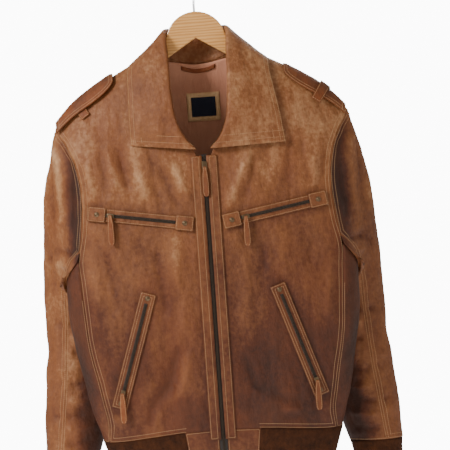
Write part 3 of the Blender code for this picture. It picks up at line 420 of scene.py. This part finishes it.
# Sewing: thick pale waxed thread in one or two rows along the edges. Each stitch is a short rounded
# block laid on the leather's face.
def beads(name, centres, along, outward, size, finish, body="jacket"):
    """Many small rounded blocks in one mesh. size is (half length, half width, half height)."""
    centres, along, outward = (np.array(v, float).reshape(-1, 3) for v in (centres, along, outward))
    along /= np.linalg.norm(along, axis=1)[:, None]
    outward -= along * (outward * along).sum(1)[:, None]
    outward /= np.linalg.norm(outward, axis=1)[:, None]
    across = np.cross(along, outward)
    turns = np.arange(4) * math.pi / 2 + math.pi / 4
    rings = [(-1.0, 0.45), (-0.55, 1.0), (0.55, 1.0), (1.0, 0.45)]      # (place along, width)
    corners = []
    for place, wide in rings:
        for turn in turns:
            corners.append(centres + along * (place * size[0]) + across * (wide * size[1] * math.cos(turn))
                           + outward * (wide * size[2] * math.sin(turn)))
    points = np.stack(corners, axis=1).reshape(-1, 3)
    one = [(r * 4 + t, r * 4 + (t + 1) % 4, r * 4 + 4 + (t + 1) % 4, r * 4 + 4 + t)
           for r in range(3) for t in range(4)]
    ends = [(3, 2, 1, 0), (12, 13, 14, 15)]
    faces = [tuple(i + 16 * k for i in face) for k in range(len(centres)) for face in one + ends]
    mesh = bpy.data.meshes.new(name)
    mesh.from_pydata(points.tolist(), [], faces)
    mesh.shade_smooth()
    mesh.materials.append(finish)
    made = bpy.data.objects.new(name, mesh)
    bpy.context.scene.collection.objects.link(made)
    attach(made, body)
    return made


thread, _, thread_shader = material("pale_thread", 0.7)
thread_shader.inputs["Base Color"].default_value = tone(182, 140, 98)
STITCH_PITCH = 3.6 * MM
STITCH_SIZE = (1.35 * MM, 0.42 * MM, 0.38 * MM)
SHORTEST_ROW = 6 * MM


def curve_points(points, step):
    """Points every step along a smooth curve through points (Catmull-Rom)."""
    p = [2 * points[0] - points[1]] + list(points) + [2 * points[-1] - points[-2]]
    dense = []
    for i in range(1, len(p) - 2):
        for k in range(12):
            t = k / 12
            dense.append(0.5 * (2 * p[i] + (p[i + 1] - p[i - 1]) * t
                                + (2 * p[i - 1] - 5 * p[i] + 4 * p[i + 1] - p[i + 2]) * t * t
                                + (3 * p[i] - p[i - 1] - 3 * p[i + 1] + p[i + 2]) * t ** 3))
    dense.append(points[-1])
    dense = np.array(dense)
    length = np.concatenate([[0], np.cumsum(np.linalg.norm(np.diff(dense, axis=0), axis=1))])
    count = max(2, round(length[-1] / step))
    at = (np.arange(count) + 0.5) * length[-1] / count
    return np.stack([np.interp(at, length, dense[:, k]) for k in range(3)], axis=1)


def stitched(node, insets, keep=None, body="jacket", name=None):
    """Stitches along the rim of a shell, at each inset in millimetres, where keep(point) holds."""
    tree = shell_tree[node]
    centres, along, outward = [], [], []
    for run in shell_runs[node]:
        for inset in insets:
            line = [p + way * (inset * MM) for p, way, _ in run]
            if len(line) < 2 or sum((b - a).length for a, b in zip(line, line[1:])) < SHORTEST_ROW:
                continue
            places = curve_points([np.array(p) for p in line], STITCH_PITCH)
            ways = np.gradient(places, axis=0)
            hint = run[len(run) // 2][2]
            for place, way in zip(places, ways):
                if keep is not None and not keep(Vector(place) / MM):
                    continue
                spot, normal, _, _ = tree.find_nearest(Vector(place) + hint * 0.001)
                if spot is None:
                    continue
                centres.append(spot + normal * 0.12 * MM)
                along.append(way)
                outward.append(normal)
    return beads("stitches_" + (name or node), centres, along, outward, STITCH_SIZE, thread, body)


# Body panels: back, two fronts and two under the arms, cut from one worn skin and sewn edge to edge over
# the shoulders and down the sides, with two rows of thread along the fronts, armholes and hem
body_leather = leather("worn_leather_painted_shade", tone(80, 36, 12), tone(130, 78, 40), tone(190, 143, 100),
                       tone(118, 60, 25), 0.35)


def from_body_axis(point):
    return Vector((point.x * 0.5, point.y, 0)).normalized()


FRONT_CREASES = (
    # the wearer's right chest: a fan of hanging folds under the shoulder
    (1.6, 6, ((-202, -318), (-196, -360), (-189, -404))), (-1.8, 5, ((-213, -325), (-206, -372))),
    (-2.0, 7, ((-147, -296), (-139, -340), (-130, -380))),
    (1.5, 8, ((-166, -290), (-158, -340), (-150, -384))),
    (-1.3, 6, ((-178, -300), (-172, -350), (-168, -392))),
    (1.2, 9, ((-120, -286), (-112, -350), (-104, -396))),
    (1.8, 8, ((-58, -330), (-40, -372), (-24, -413))), (-1.6, 7, ((-76, -336), (-62, -378), (-44, -420))),
    (-1.1, 6, ((-92, -300), (-88, -350), (-84, -396))),
    # the wearer's left chest
    (2.0, 9, ((72, -330), (56, -372), (38, -417))), (-1.6, 7, ((92, -322), (80, -366), (64, -404))),
    (1.5, 8, ((188, -330), (186, -378), (178, -404))), (-1.8, 6, ((206, -330), (202, -380))),
    (-1.4, 7, ((150, -296), (144, -346), (138, -390))), (1.2, 9, ((122, -290), (118, -340), (112, -392))),
    (-1.1, 5, ((170, -300), (168, -350))),
    # below the chest pockets
    (1.6, 11, ((-60, -470), (-54, -560), (-50, -640))), (-1.5, 9, ((-92, -468), (-84, -540), (-80, -600))),
    (1.3, 10, ((-205, -500), (-192, -580))), (-1.4, 8, ((-180, -470), (-168, -540), (-160, -590))),
    (1.5, 11, ((56, -480), (60, -560), (54, -640))), (-1.3, 9, ((88, -470), (92, -540))),
    (1.5, 9, ((206, -500), (196, -570), (190, -620))), (-1.4, 8, ((178, -470), (166, -530))),
    # above the hem
    (-2.6, 9, ((-62, -640), (-86, -713), (-118, -752), (-126, -786))),
    (2.0, 9, ((-44, -650), (-64, -720), (-92, -764))), (1.2, 7, ((-108, -700), (-138, -748))),
    (1.8, 6, ((74, -750), (104, -764), (140, -770))), (-1.6, 5, ((70, -762), (104, -777), (142, -781))),
    (-1.3, 6, ((84, -736), (112, -748), (146, -752))), (-1.8, 8, ((44, -660), (58, -720), (84, -744))),
    (1.5, 8, ((-196, -700), (-186, -745), (-178, -782))), (1.4, 8, ((196, -700), (190, -745), (182, -782))),
    (-1.4, 6, ((-40, -752), (-66, -772), (-92, -778))), (1.2, 6, ((-30, -738), (-58, -752))),
)
BACK_CREASES = (
    (1.8, 12, ((-60, -240), (-40, -330), (-36, -420))), (-1.6, 11, ((-92, -236), (-74, -330), (-66, -430))),
    (1.8, 12, ((60, -240), (42, -330), (36, -420))), (-1.6, 11, ((94, -236), (76, -330), (66, -430))),
    (1.6, 10, ((-196, -300), (-170, -360), (-150, -430))), (-1.6, 9, ((-214, -330), (-190, -400))),
    (1.6, 10, ((196, -300), (172, -360), (150, -430))), (-1.6, 9, ((214, -330), (190, -400))),
    (1.5, 14, ((0, -470), (8, -600), (2, -720))), (-1.5, 13, ((-52, -520), (-44, -640), (-50, -760))),
    (-1.5, 13, ((58, -520), (50, -640), (56, -760))), (1.6, 13, ((-110, -540), (-102, -650), (-106, -770))),
    (1.6, 13, ((112, -540), (104, -650), (108, -770))), (-1.4, 9, ((-40, -690), (-90, -730), (-150, -744))),
    (-1.4, 9, ((36, -700), (88, -738), (150, -748))), (1.4, 9, ((-30, -745), (30, -752))),
)
# What lies on the fronts, where they stay calm: pocket welts, closing and shoulder straps
CHEST_LINE = ((40, -439), (188, -414))
HIP_LINE = ((112, -562), (170, -738))
QUIET_LINES = [(((x1 * side, z1), (x2 * side, z2)), 15)
               for _, side in SIDES for (x1, z1), (x2, z2) in (CHEST_LINE, HIP_LINE)]
QUIET_LINES += [(((0, -320), (0, -800)), 22), (((-64, -775), (64, -775)), 34)]


def quiet(x, z):
    """0 on what is sewn onto the fronts, 1 away from it."""
    total = np.ones(len(x))
    for line, half in QUIET_LINES:
        total *= smooth_step((away_from(line, x, z) - half) / 16)
    x = np.abs(x)
    off_collar = smooth_step((x - 0.55 * (z + 430) - 10) / 30) + smooth_step((-310 - z) / 30)
    off_strap = smooth_step((x - 262) / 10) + smooth_step((138 - x) / 14) + smooth_step((-236 - z) / 24)
    return total * np.clip(off_collar, 0, 1) * np.clip(off_strap, 0, 1)


def body_lift(co):
    x, y, z = (co / MM).T
    at_front = y < 0
    height = np.where(at_front, crease_lift(FRONT_CREASES, x, z), crease_lift(BACK_CREASES, x, z))
    height = FOLD_DEPTH * height + 1.7 * ripple(co, 22, (1.4, 1, 0.5))
    height += 0.8 * ripple(co, 60, (1.3, 1, 0.6), 9.0)
    return height * np.where(at_front, quiet(x, z), 1.0)


def body_shade(co):
    """Painted light and shade: a painted highlight over the shoulders and chest, painted shade low down, by
    the armholes, low on the wearer's left and round what is sewn on.
    """
    x, y, z = (co / MM).T
    shade = 0.07 * smooth_step((z + 420) / 160) - 0.34 * smooth_step((-430 - z) / 260)
    shade += 0.12 * smooth_step((x - 100) / 60) * smooth_step((z + 330) / 60)
    shade -= 0.40 * smooth_step((np.abs(x) - 204) / 34) * smooth_step((-400 - z) / 90)
    # Painted shadow round what is sewn on the fronts.
    painted_shadow_round_trims = np.zeros(len(x))
    for line, half in QUIET_LINES:
        painted_shadow_round_trims = np.maximum(painted_shadow_round_trims, np.exp(-(np.maximum(away_from(line, x, z) - half, 0) / 7) ** 2))
    return shade - 0.10 * painted_shadow_round_trims * (y < 0) - 0.13 * smooth_step((x - 20) / 60) * smooth_step((-400 - z) / 60)


def sewn_front_edge(p):
    """Where a front's edge shows its rows of thread: armhole, side and hem, not under the closing."""
    return abs(p.x) > 120 and p.z > -790 or p.z < -700 and abs(p.x) > 62


panel = shell("leather_back_panel", "back_panel", body_leather, PLAIN, from_body_axis, body_lift,
              shade=body_shade)
stitched("back_panel", (2, 8), lambda p: p.z < -170)
for hand, _ in SIDES:
    node = "front_" + hand
    panel = shell("leather_" + node, node, body_leather, FOLDED, from_body_axis, body_lift, shade=body_shade)
    stitched(node, (2, 8), sewn_front_edge)
    node = "side_" + hand
    panel = shell("leather_" + node, node, body_leather, PLAIN, from_body_axis, body_lift, shade=body_shade)
    stitched(node, (2,), lambda p: p.z < -560)


# Sleeves: an upper and an under piece on each arm, set into the armhole, with broken folds across the
# elbow. The seam allowance, turned in, shows as a dark roll of leather behind each armhole seam.
def sleeve_middle(hand):
    """The sleeve's centre line as heights and centres."""
    points = np.concatenate([np.array([v.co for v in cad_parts[part + "_" + hand].data.vertices])
                             for part in ("sleeve_upper", "sleeve_under")])
    heights = np.linspace(points[:, 2].min(), points[:, 2].max(), 22)
    middles = []
    for z in heights:
        near = points[np.abs(points[:, 2] - z) < 0.035]
        middles.append((near.min(0) + near.max(0)) / 2)
    return heights, np.array(middles)


# (height, half width, points of turn round the sleeve in millimetres of front width and height)
SLEEVE_CREASES = (
    (2.2, 8, ((12, -292), (4, -350), (0, -440))), (-2.2, 7, ((-14, -300), (-16, -370), (-12, -452))),
    (-1.8, 7, ((32, -310), (26, -372), (22, -436))), (1.5, 7, ((-34, -320), (-34, -380), (-30, -430))),
    (-2.4, 6, ((-44, -470), (-10, -486), (26, -478))), (1.8, 7, ((-46, -494), (-6, -512), (34, -500))),
    (-2.2, 6, ((-44, -536), (-6, -552), (30, -540))), (1.8, 7, ((-40, -566), (0, -582), (36, -572))),
    (-1.9, 6, ((-10, -600), (26, -612), (48, -604))), (2.0, 7, ((-40, -622), (0, -636), (32, -628))),
    (-2.0, 6, ((-46, -650), (-12, -664), (18, -658))), (1.6, 6, ((4, -680), (36, -694))),
    (-1.8, 6, ((-30, -706), (6, -716), (40, -706))), (1.7, 6, ((-44, -736), (-10, -746), (22, -740))),
    (-1.8, 5, ((-20, -764), (16, -772), (44, -764))), (1.6, 5, ((-40, -786), (0, -794), (36, -788))),
    (-1.6, 5, ((-34, -812), (0, -818), (36, -812))),
)

ROLL_RADIUS = 1.7 * MM
ROLL_REACH = 12 * MM          # how far past the front's armhole edge the seam still runs
ARMHOLE_LOW_Z = -0.55


def seam_roll(node, keep):
    """A roll of leather along the part of a shell's rim where keep(point) holds."""
    curve = bpy.data.curves.new("seam_roll_" + node, "CURVE")
    curve.dimensions = "3D"
    curve.bevel_depth, curve.bevel_resolution = ROLL_RADIUS, 2
    for run in shell_runs[node]:
        kept = [p - way * ROLL_RADIUS * 0.4 - normal * ROLL_RADIUS for p, way, normal in run if keep(p)]
        if len(kept) > 3:
            spline = curve.splines.new("POLY")
            spline.points.add(len(kept) - 1)
            for point, place in zip(spline.points, kept):
                point.co = (*place, 1)
    curve.materials.append(body_leather)
    made = bpy.data.objects.new("seam_roll_" + node, curve)
    bpy.context.scene.collection.objects.link(made)
    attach(made, "jacket")
    return made


for hand, side in SIDES:
    heights, middles = sleeve_middle(hand)

    def from_sleeve_axis(point):
        middle = [np.interp(point.z, heights, middles[:, k]) for k in range(2)]
        return Vector((point.x - middle[0], point.y - middle[1], 0)).normalized()

    def sleeve_shade(co):
        # Painted shade: the wearer's left sleeve darker than the right, much darker on the inner side
        # towards the body, and darker low down.
        inner = (np.interp(co[:, 2], heights, middles[:, 0]) - co[:, 0]) * side / MM
        low = smooth_step((-0.55 - co[:, 2]) / 0.2)
        return 0.02 - 0.07 * side - 0.92 * smooth_step((inner + 8) / 42) - 0.10 * low

    def sleeve_lift(co):
        x = (co[:, 0] - np.interp(co[:, 2], heights, middles[:, 0])) * side / MM
        z = co[:, 2] / MM - (0 if side > 0 else 8)      # the right sleeve's folds sit 8 mm higher
        at_back = co[:, 1] > np.interp(co[:, 2], heights, middles[:, 1])
        height = np.where(at_back, crease_lift(SLEEVE_CREASES, -x, z + 17),
                          crease_lift(SLEEVE_CREASES, x, z))
        fine = 1.4 * ripple(co, 26, (1, 1, 0.6), side * 3) + 0.6 * ripple(co, 70, (1, 1, 1), 5)
        return FOLD_DEPTH * height + fine

    armhole_reach = abs(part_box("front_" + hand)[1 if side > 0 else 0].x) + ROLL_REACH

    def in_armhole(p):
        return p.z > ARMHOLE_LOW_Z and abs(p.x) < armhole_reach

    for node, width, length, area, rows, keep in (
            ("sleeve_upper_" + hand, 0.21, 0.60, 0.0947, (2, 8), None),
            ("sleeve_under_" + hand, 0.17, 0.44, 0.0577, (2,), lambda p: p.z < -560)):
        piece = shell("leather_" + node, node, body_leather, FOLDED, from_sleeve_axis, sleeve_lift,
                      shade=sleeve_shade)
        seam_roll(node, in_armhole)
        stitched(node, rows, keep)


# Collar: one pointed turn-down collar in firm leather, its leaf and stand in one wall, sewn to the neck.
# Two rows of thread follow the leaf's edges, and a third runs above its lower edges.
def collar_lift(co):
    return 1.0 * ripple(co, 20) + 0.5 * ripple(co, 60, (1, 1, 1), 4)


def collar_shade(co):
    return 0.05 + 0.10 * smooth_step(co[:, 0] / MM / 60)


collar = shell("leather_collar", "collar", body_leather, PLAIN, None, collar_lift, shade=collar_shade)
# The neck seam shows no thread. The lower edges end in a narrow underside, so they are sewn from the face.
leaf_runs = []
for run in shell_runs["collar"]:
    facing = run[len(run) // 2][2]
    if facing.z < -0.8:
        leaf_runs.append([(point, Vector((0, 0, 1)), Vector((0, -1, 0))) for point, _, _ in run])
    elif facing.y > 0:
        leaf_runs.append(run)
shell_runs["collar"] = leaf_runs
stitched("collar", (2, 9))
stitched("collar", (20,), lambda p: p.z < -288 and abs(p.x) > 34, name="collar_band")


# Closing: two narrow plackets in the fronts' leather, sewn on beside the zip, and a leather tab over the
# rib band on each side of it
def small_lift(co):
    return 0.22 * ripple(co, 60, (1, 1, 1), 2)


def trim_shade(co):
    # A little darker than the panels all over, and painted shade lower down, as on the panels.
    return -0.08 - 0.22 * smooth_step((-0.43 - co[:, 2]) / 0.26)


PLACKET_REACH = 3.6 * MM


def towards_zip(co):
    """Brings a placket's inner edge nearer the zip's teeth, over the tape."""
    inner = np.abs(co[:, 0]).min()
    share = smooth_step(1 - (np.abs(co[:, 0]) - inner) / (8 * MM))
    moved = co.copy()
    moved[:, 0] -= np.sign(co[:, 0]) * share * PLACKET_REACH
    return moved


for hand, _ in SIDES:
    node = "placket_" + hand
    piece = shell("leather_" + node, node, body_leather, PLAIN, from_body_axis, small_lift, shade=trim_shade,
                  move=towards_zip, rim_wear=0.03)
    stitched(node, (2,))
    node = "waist_tab_" + hand
    piece = shell("leather_" + node, node, body_leather, PLAIN, from_body_axis, small_lift, shade=trim_shade,
                  rim_wear=0.04)
    stitched(node, (2,))


# Pocket leather: a welt round each of the four zips, and a riveted tab over both ends of the chest zips
POCKET_LEATHER = (
    # node, width and length of the cut in metres, insets of its rows of thread in millimetres
    ("chest_welt_", 0.162, 0.022, (1.8,)), ("hip_welt_", 0.21, 0.027, (1.8, 6)),
    ("chest_tab_inner_", 0.032, 0.026, (1.6,)), ("chest_tab_outer_", 0.032, 0.026, (1.6,)),
)
for start, width, length, rows in POCKET_LEATHER:
    for hand, _ in SIDES:
        node = start + hand
        piece = shell("leather_" + node, node, body_leather, PLAIN, from_body_axis, small_lift,
                      shade=trim_shade, rim_wear=0.04)
        stitched(node, rows)


# Straps: pointed shoulder straps under their loops, five zip pulls that hang from their sliders, and the
# hanging loop, in redder leather rubbed at the edges
strap_leather = leather("strap_leather", tone(66, 31, 12), tone(118, 64, 29), tone(176, 122, 74),
                        tone(140, 68, 24), 0.7)
for hand, area in (("left", 0.006), ("right", 0.0064)):
    node = "epaulette_" + hand
    piece = shell("leather_" + node, node, strap_leather, PLAIN, None, small_lift)
    stitched(node, (2, 7))
    node = "epaulette_loop_" + hand
    piece = shell("leather_" + node, node, strap_leather, PLAIN, None, small_lift)
    stitched(node, (1.4,))

PULLS = [("front_zip_pull", "front_zip_slider")]
PULLS += [(pocket + "_pull_" + hand, pocket + "_slider_" + hand)
          for pocket in ("chest", "hip") for hand, _ in SIDES]
for node, slider in PULLS:
    piece = shell("leather_" + node, node, strap_leather, PLAIN, from_body_axis, body=node)
    stitched(node, (1.4,), body=node)
piece = shell("leather_hang_loop", "hang_loop", strap_leather, PLAIN, None, small_lift)


# Knit: a ribbed hem band from waist tab to waist tab and two ribbed cuffs, in dark brown wool, sewn
# under the leather's edge
def knit(name, valley, top):
    made, tree, shader = material(name, 0.9)
    shader.inputs["Specular IOR Level"].default_value = 0.2
    amount = sums(tree, [(mottle(tree, 60, 4), 0.7), (mottle(tree, 700, 2), 0.5)])
    tree.links.new(ramp(tree, amount, [(0.35, valley), (0.85, top)]), shader.inputs["Base Color"])
    where = tree.nodes.new("ShaderNodeTexCoord")
    rows = add(tree, "ShaderNodeTexWave", Scale=150.0, Distortion=1.2, Detail=2.0)
    rows.bands_direction = "Z"
    tree.links.new(where.outputs["Object"], rows.inputs["Vector"])
    bumps(tree, shader, [(rows.outputs["Fac"], 0.0007), (mottle(tree, 900, 2), 0.0004)])
    return made


rib_knit = knit("rib_knit", tone(30, 13, 4), tone(84, 45, 20))
piece = shell("knit_hem_rib", "hem_rib", rib_knit)
for hand, _ in SIDES:
    piece = shell("knit_cuff_" + hand, "cuff_" + hand, rib_knit)


# Inside the neck: a brown woven lining, and on it a bare navy label sewn onto a pale leather patch
def woven(name, dark, pale, threads, depth):
    made, tree, shader = material(name, 0.85)
    shader.inputs["Sheen Weight"].default_value = 0.2
    where = tree.nodes.new("ShaderNodeTexCoord")
    lines = []
    for way in ("X", "Z"):
        wave = add(tree, "ShaderNodeTexWave", Scale=threads, Distortion=0.6)
        wave.bands_direction = way
        tree.links.new(where.outputs["Object"], wave.inputs["Vector"])
        lines.append((wave.outputs["Fac"], 0.5))
    cloth = sums(tree, lines)
    amount = sums(tree, [(cloth, 0.45), (mottle(tree, 14, 4), 0.6)])
    tree.links.new(ramp(tree, amount, [(0.25, dark), (0.8, pale)]), shader.inputs["Base Color"])
    bumps(tree, shader, [(mottle(tree, 30, 3, (1.6, 1, 0.5)), 0.003), (cloth, depth)])
    return made


lining_cloth = woven("lining_cloth", tone(176, 108, 80), tone(228, 164, 130), 320.0, 0.0002)
label_cloth = woven("label_cloth", tone(14, 18, 34), tone(28, 34, 58), 500.0, 0.0001)
piece = shell("lining_back_cloth", "lining_back", lining_cloth)
frame_leather = leather("frame_leather", tone(176, 124, 80), tone(240, 200, 150), tone(250, 222, 184),
                        tone(214, 150, 98), 0.3)
piece = shell("leather_label_frame", "label_frame", frame_leather, PLAIN, None, small_lift)
stitched("label_frame", (1.8,))
piece = shell("label_cloth_patch", "label", label_cloth)


# Zips: dark woven tape with metal teeth that mesh along its middle, closed in front and on four pockets.
# The leather beside each zip covers the tape's edges.
zip_tape = woven("zip_tape", tone(20, 15, 12), tone(46, 34, 26), 700.0, 0.0001)
dark_metal, _, dark_metal_shader = material("dark_metal", 0.38, 1.0)
dark_metal_shader.inputs["Base Color"].default_value = tone(112, 92, 70)
tooth_metal, _, tooth_metal_shader = material("tooth_metal", 0.42, 1.0)
tooth_metal_shader.inputs["Base Color"].default_value = tone(74, 62, 50)
TAPE_SHARE = 0.66      # how much of the solid's width the tape shows between the leather edges
OPEN_TAPE_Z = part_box("placket_left")[0].z + 4 * MM      # below this nothing covers the tape's edges
TOOTH_PITCH = 2.6 * MM
TOOTH_SIZE = (1.25 * MM, 0.75 * MM, 0.6 * MM)


def closed_zip(node, start, end, length, area=None):
    """Tape and two rows of teeth, along a straight line (x, z) seen from the front, in millimetres."""
    a, b = Vector((start[0], 0, start[1])) * MM, Vector((end[0], 0, end[1])) * MM
    run = (b - a).normalized()
    across = Vector((0, 1, 0)).cross(run)

    def narrow(co):
        off = (co - np.array(a)) @ np.array(across)
        return co - np.outer(off * (1 - TAPE_SHARE) * (co[:, 2] > OPEN_TAPE_Z), np.array(across))

    tape = shell("tape_" + node, node, zip_tape, PLAIN, from_body_axis, move=narrow)
    tree = shell_tree[node]
    centres, along, outward = [], [], []
    for k in range(int((b - a).length / TOOTH_PITCH * 2)):
        hand = 1 if k % 2 else -1
        place = a + run * (k * TOOTH_PITCH / 2) + across * (hand * 0.9 * MM)
        spot, normal, _, _ = tree.ray_cast(Vector((place.x, -0.5, place.z)), Vector((0, 1, 0)))
        if spot is not None and normal.y < -0.2:
            centres.append(spot + normal * 0.35 * MM)
            along.append(across)
            outward.append(normal)
    teeth = beads("teeth_" + node, centres, along, outward, TOOTH_SIZE, tooth_metal)


low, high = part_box("front_zip")
closed_zip("front_zip", (0, high.z / MM - 2), (0, low.z / MM + 2), 0.534)
for start, line, length, area in (("chest_zip_", CHEST_LINE, 0.121, 0.00073),
                                  ("hip_zip_", HIP_LINE, 0.171, 0.00105)):
    for hand, side in SIDES:
        closed_zip(start + hand, *((x * side, z) for x, z in line), length, area)


# Rivets and sliders: antique brass. Domed rivets hold the tabs and the hip welts' ends, and each cast
# slider has a bridge for its pull.
RIVET_PROFILE = (      # (radius, height) in millimetres, from the leather up to the dome
    (4.2, -0.3), (4.2, 0.7), (3.9, 1.1), (3.3, 1.2), (3.0, 0.8), (2.6, 0.8), (2.4, 1.3), (1.5, 1.7),
    (0.3, 1.8))


def domed_rivet(name, centre, axis):
    """A turned rivet head that stands on centre and looks along axis."""
    profile, steps = RIVET_PROFILE, 24
    axis = axis.normalized()
    side = axis.orthogonal().normalized()
    other = axis.cross(side)
    points, faces = [], []
    for radius, height in profile:
        for k in range(steps):
            turn = 2 * math.pi * k / steps
            spoke = side * math.cos(turn) + other * math.sin(turn)
            points.append(centre + spoke * radius * MM + axis * height * MM)
    for r in range(len(profile) - 1):
        for k in range(steps):
            n = (k + 1) % steps
            faces.append((r * steps + k, r * steps + n, (r + 1) * steps + n, (r + 1) * steps + k))
    faces.append(tuple(range((len(profile) - 1) * steps, len(profile) * steps)))
    faces.append(tuple(range(steps - 1, -1, -1)))
    mesh = bpy.data.meshes.new(name)
    mesh.from_pydata([tuple(p) for p in points], [], faces)
    mesh.shade_smooth()
    mesh.materials.append(dark_metal)
    made = bpy.data.objects.new(name, mesh)
    bpy.context.scene.collection.objects.link(made)
    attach(made, "jacket")
    return made


for hand, _ in SIDES:
    for part, on in (("chest_rivet_inner", "chest_tab_inner"), ("chest_rivet_outer", "chest_tab_outer"),
                     ("hip_rivet_top", "hip_welt"), ("hip_rivet_bottom", "hip_welt")):
        low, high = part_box(part + "_" + hand)
        middle = (low + high) / 2
        spot, normal, _, _ = shell_tree[on + "_" + hand].find_nearest(middle)
        if normal.y > 0:
            normal = -normal
        rivet = domed_rivet("domed_" + part + "_" + hand, spot, normal)
        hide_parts(part + "_" + hand)

for _, node in PULLS:
    shell("cast_" + node, node, dark_metal)


# Hanger: flat light wood with a clear varnish, and a polished wire hook screwed into it. Both keep their
# solids' shape.
def wood(name, dark, pale):
    made, tree, shader = material(name, 0.35)
    shader.inputs["Coat Weight"].default_value = 0.25
    where = tree.nodes.new("ShaderNodeTexCoord")
    turn = add(tree, "ShaderNodeMapping", Scale=(0.12, 1.0, 1.0))
    tree.links.new(where.outputs["Object"], turn.inputs["Vector"])
    rings = add(tree, "ShaderNodeTexWave", Scale=60.0, Distortion=5.0, Detail=3.0, Detail_Scale=1.4)
    rings.bands_direction = "Z"
    tree.links.new(turn.outputs["Vector"], rings.inputs["Vector"])
    amount = sums(tree, [(rings.outputs["Fac"], 0.45), (mottle(tree, 400, 4, (0.06, 1, 1)), 0.5)])
    tree.links.new(ramp(tree, amount, [(0.2, dark), (0.8, pale)]), shader.inputs["Base Color"])
    bumps(tree, shader, [(rings.outputs["Fac"], 0.0001)])
    return made


steel, _, steel_shader = material("polished_steel", 0.16, 1.0)
steel_shader.inputs["Base Color"].default_value = (0.82, 0.82, 0.83, 1)
varnished_wood = wood("varnished_wood", tone(200, 134, 66), tone(234, 178, 106))
for node, finish in (("hanger_body", varnished_wood), ("hanger_hook", steel)):
    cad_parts[node].data.materials.clear()
    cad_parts[node].data.materials.append(finish)
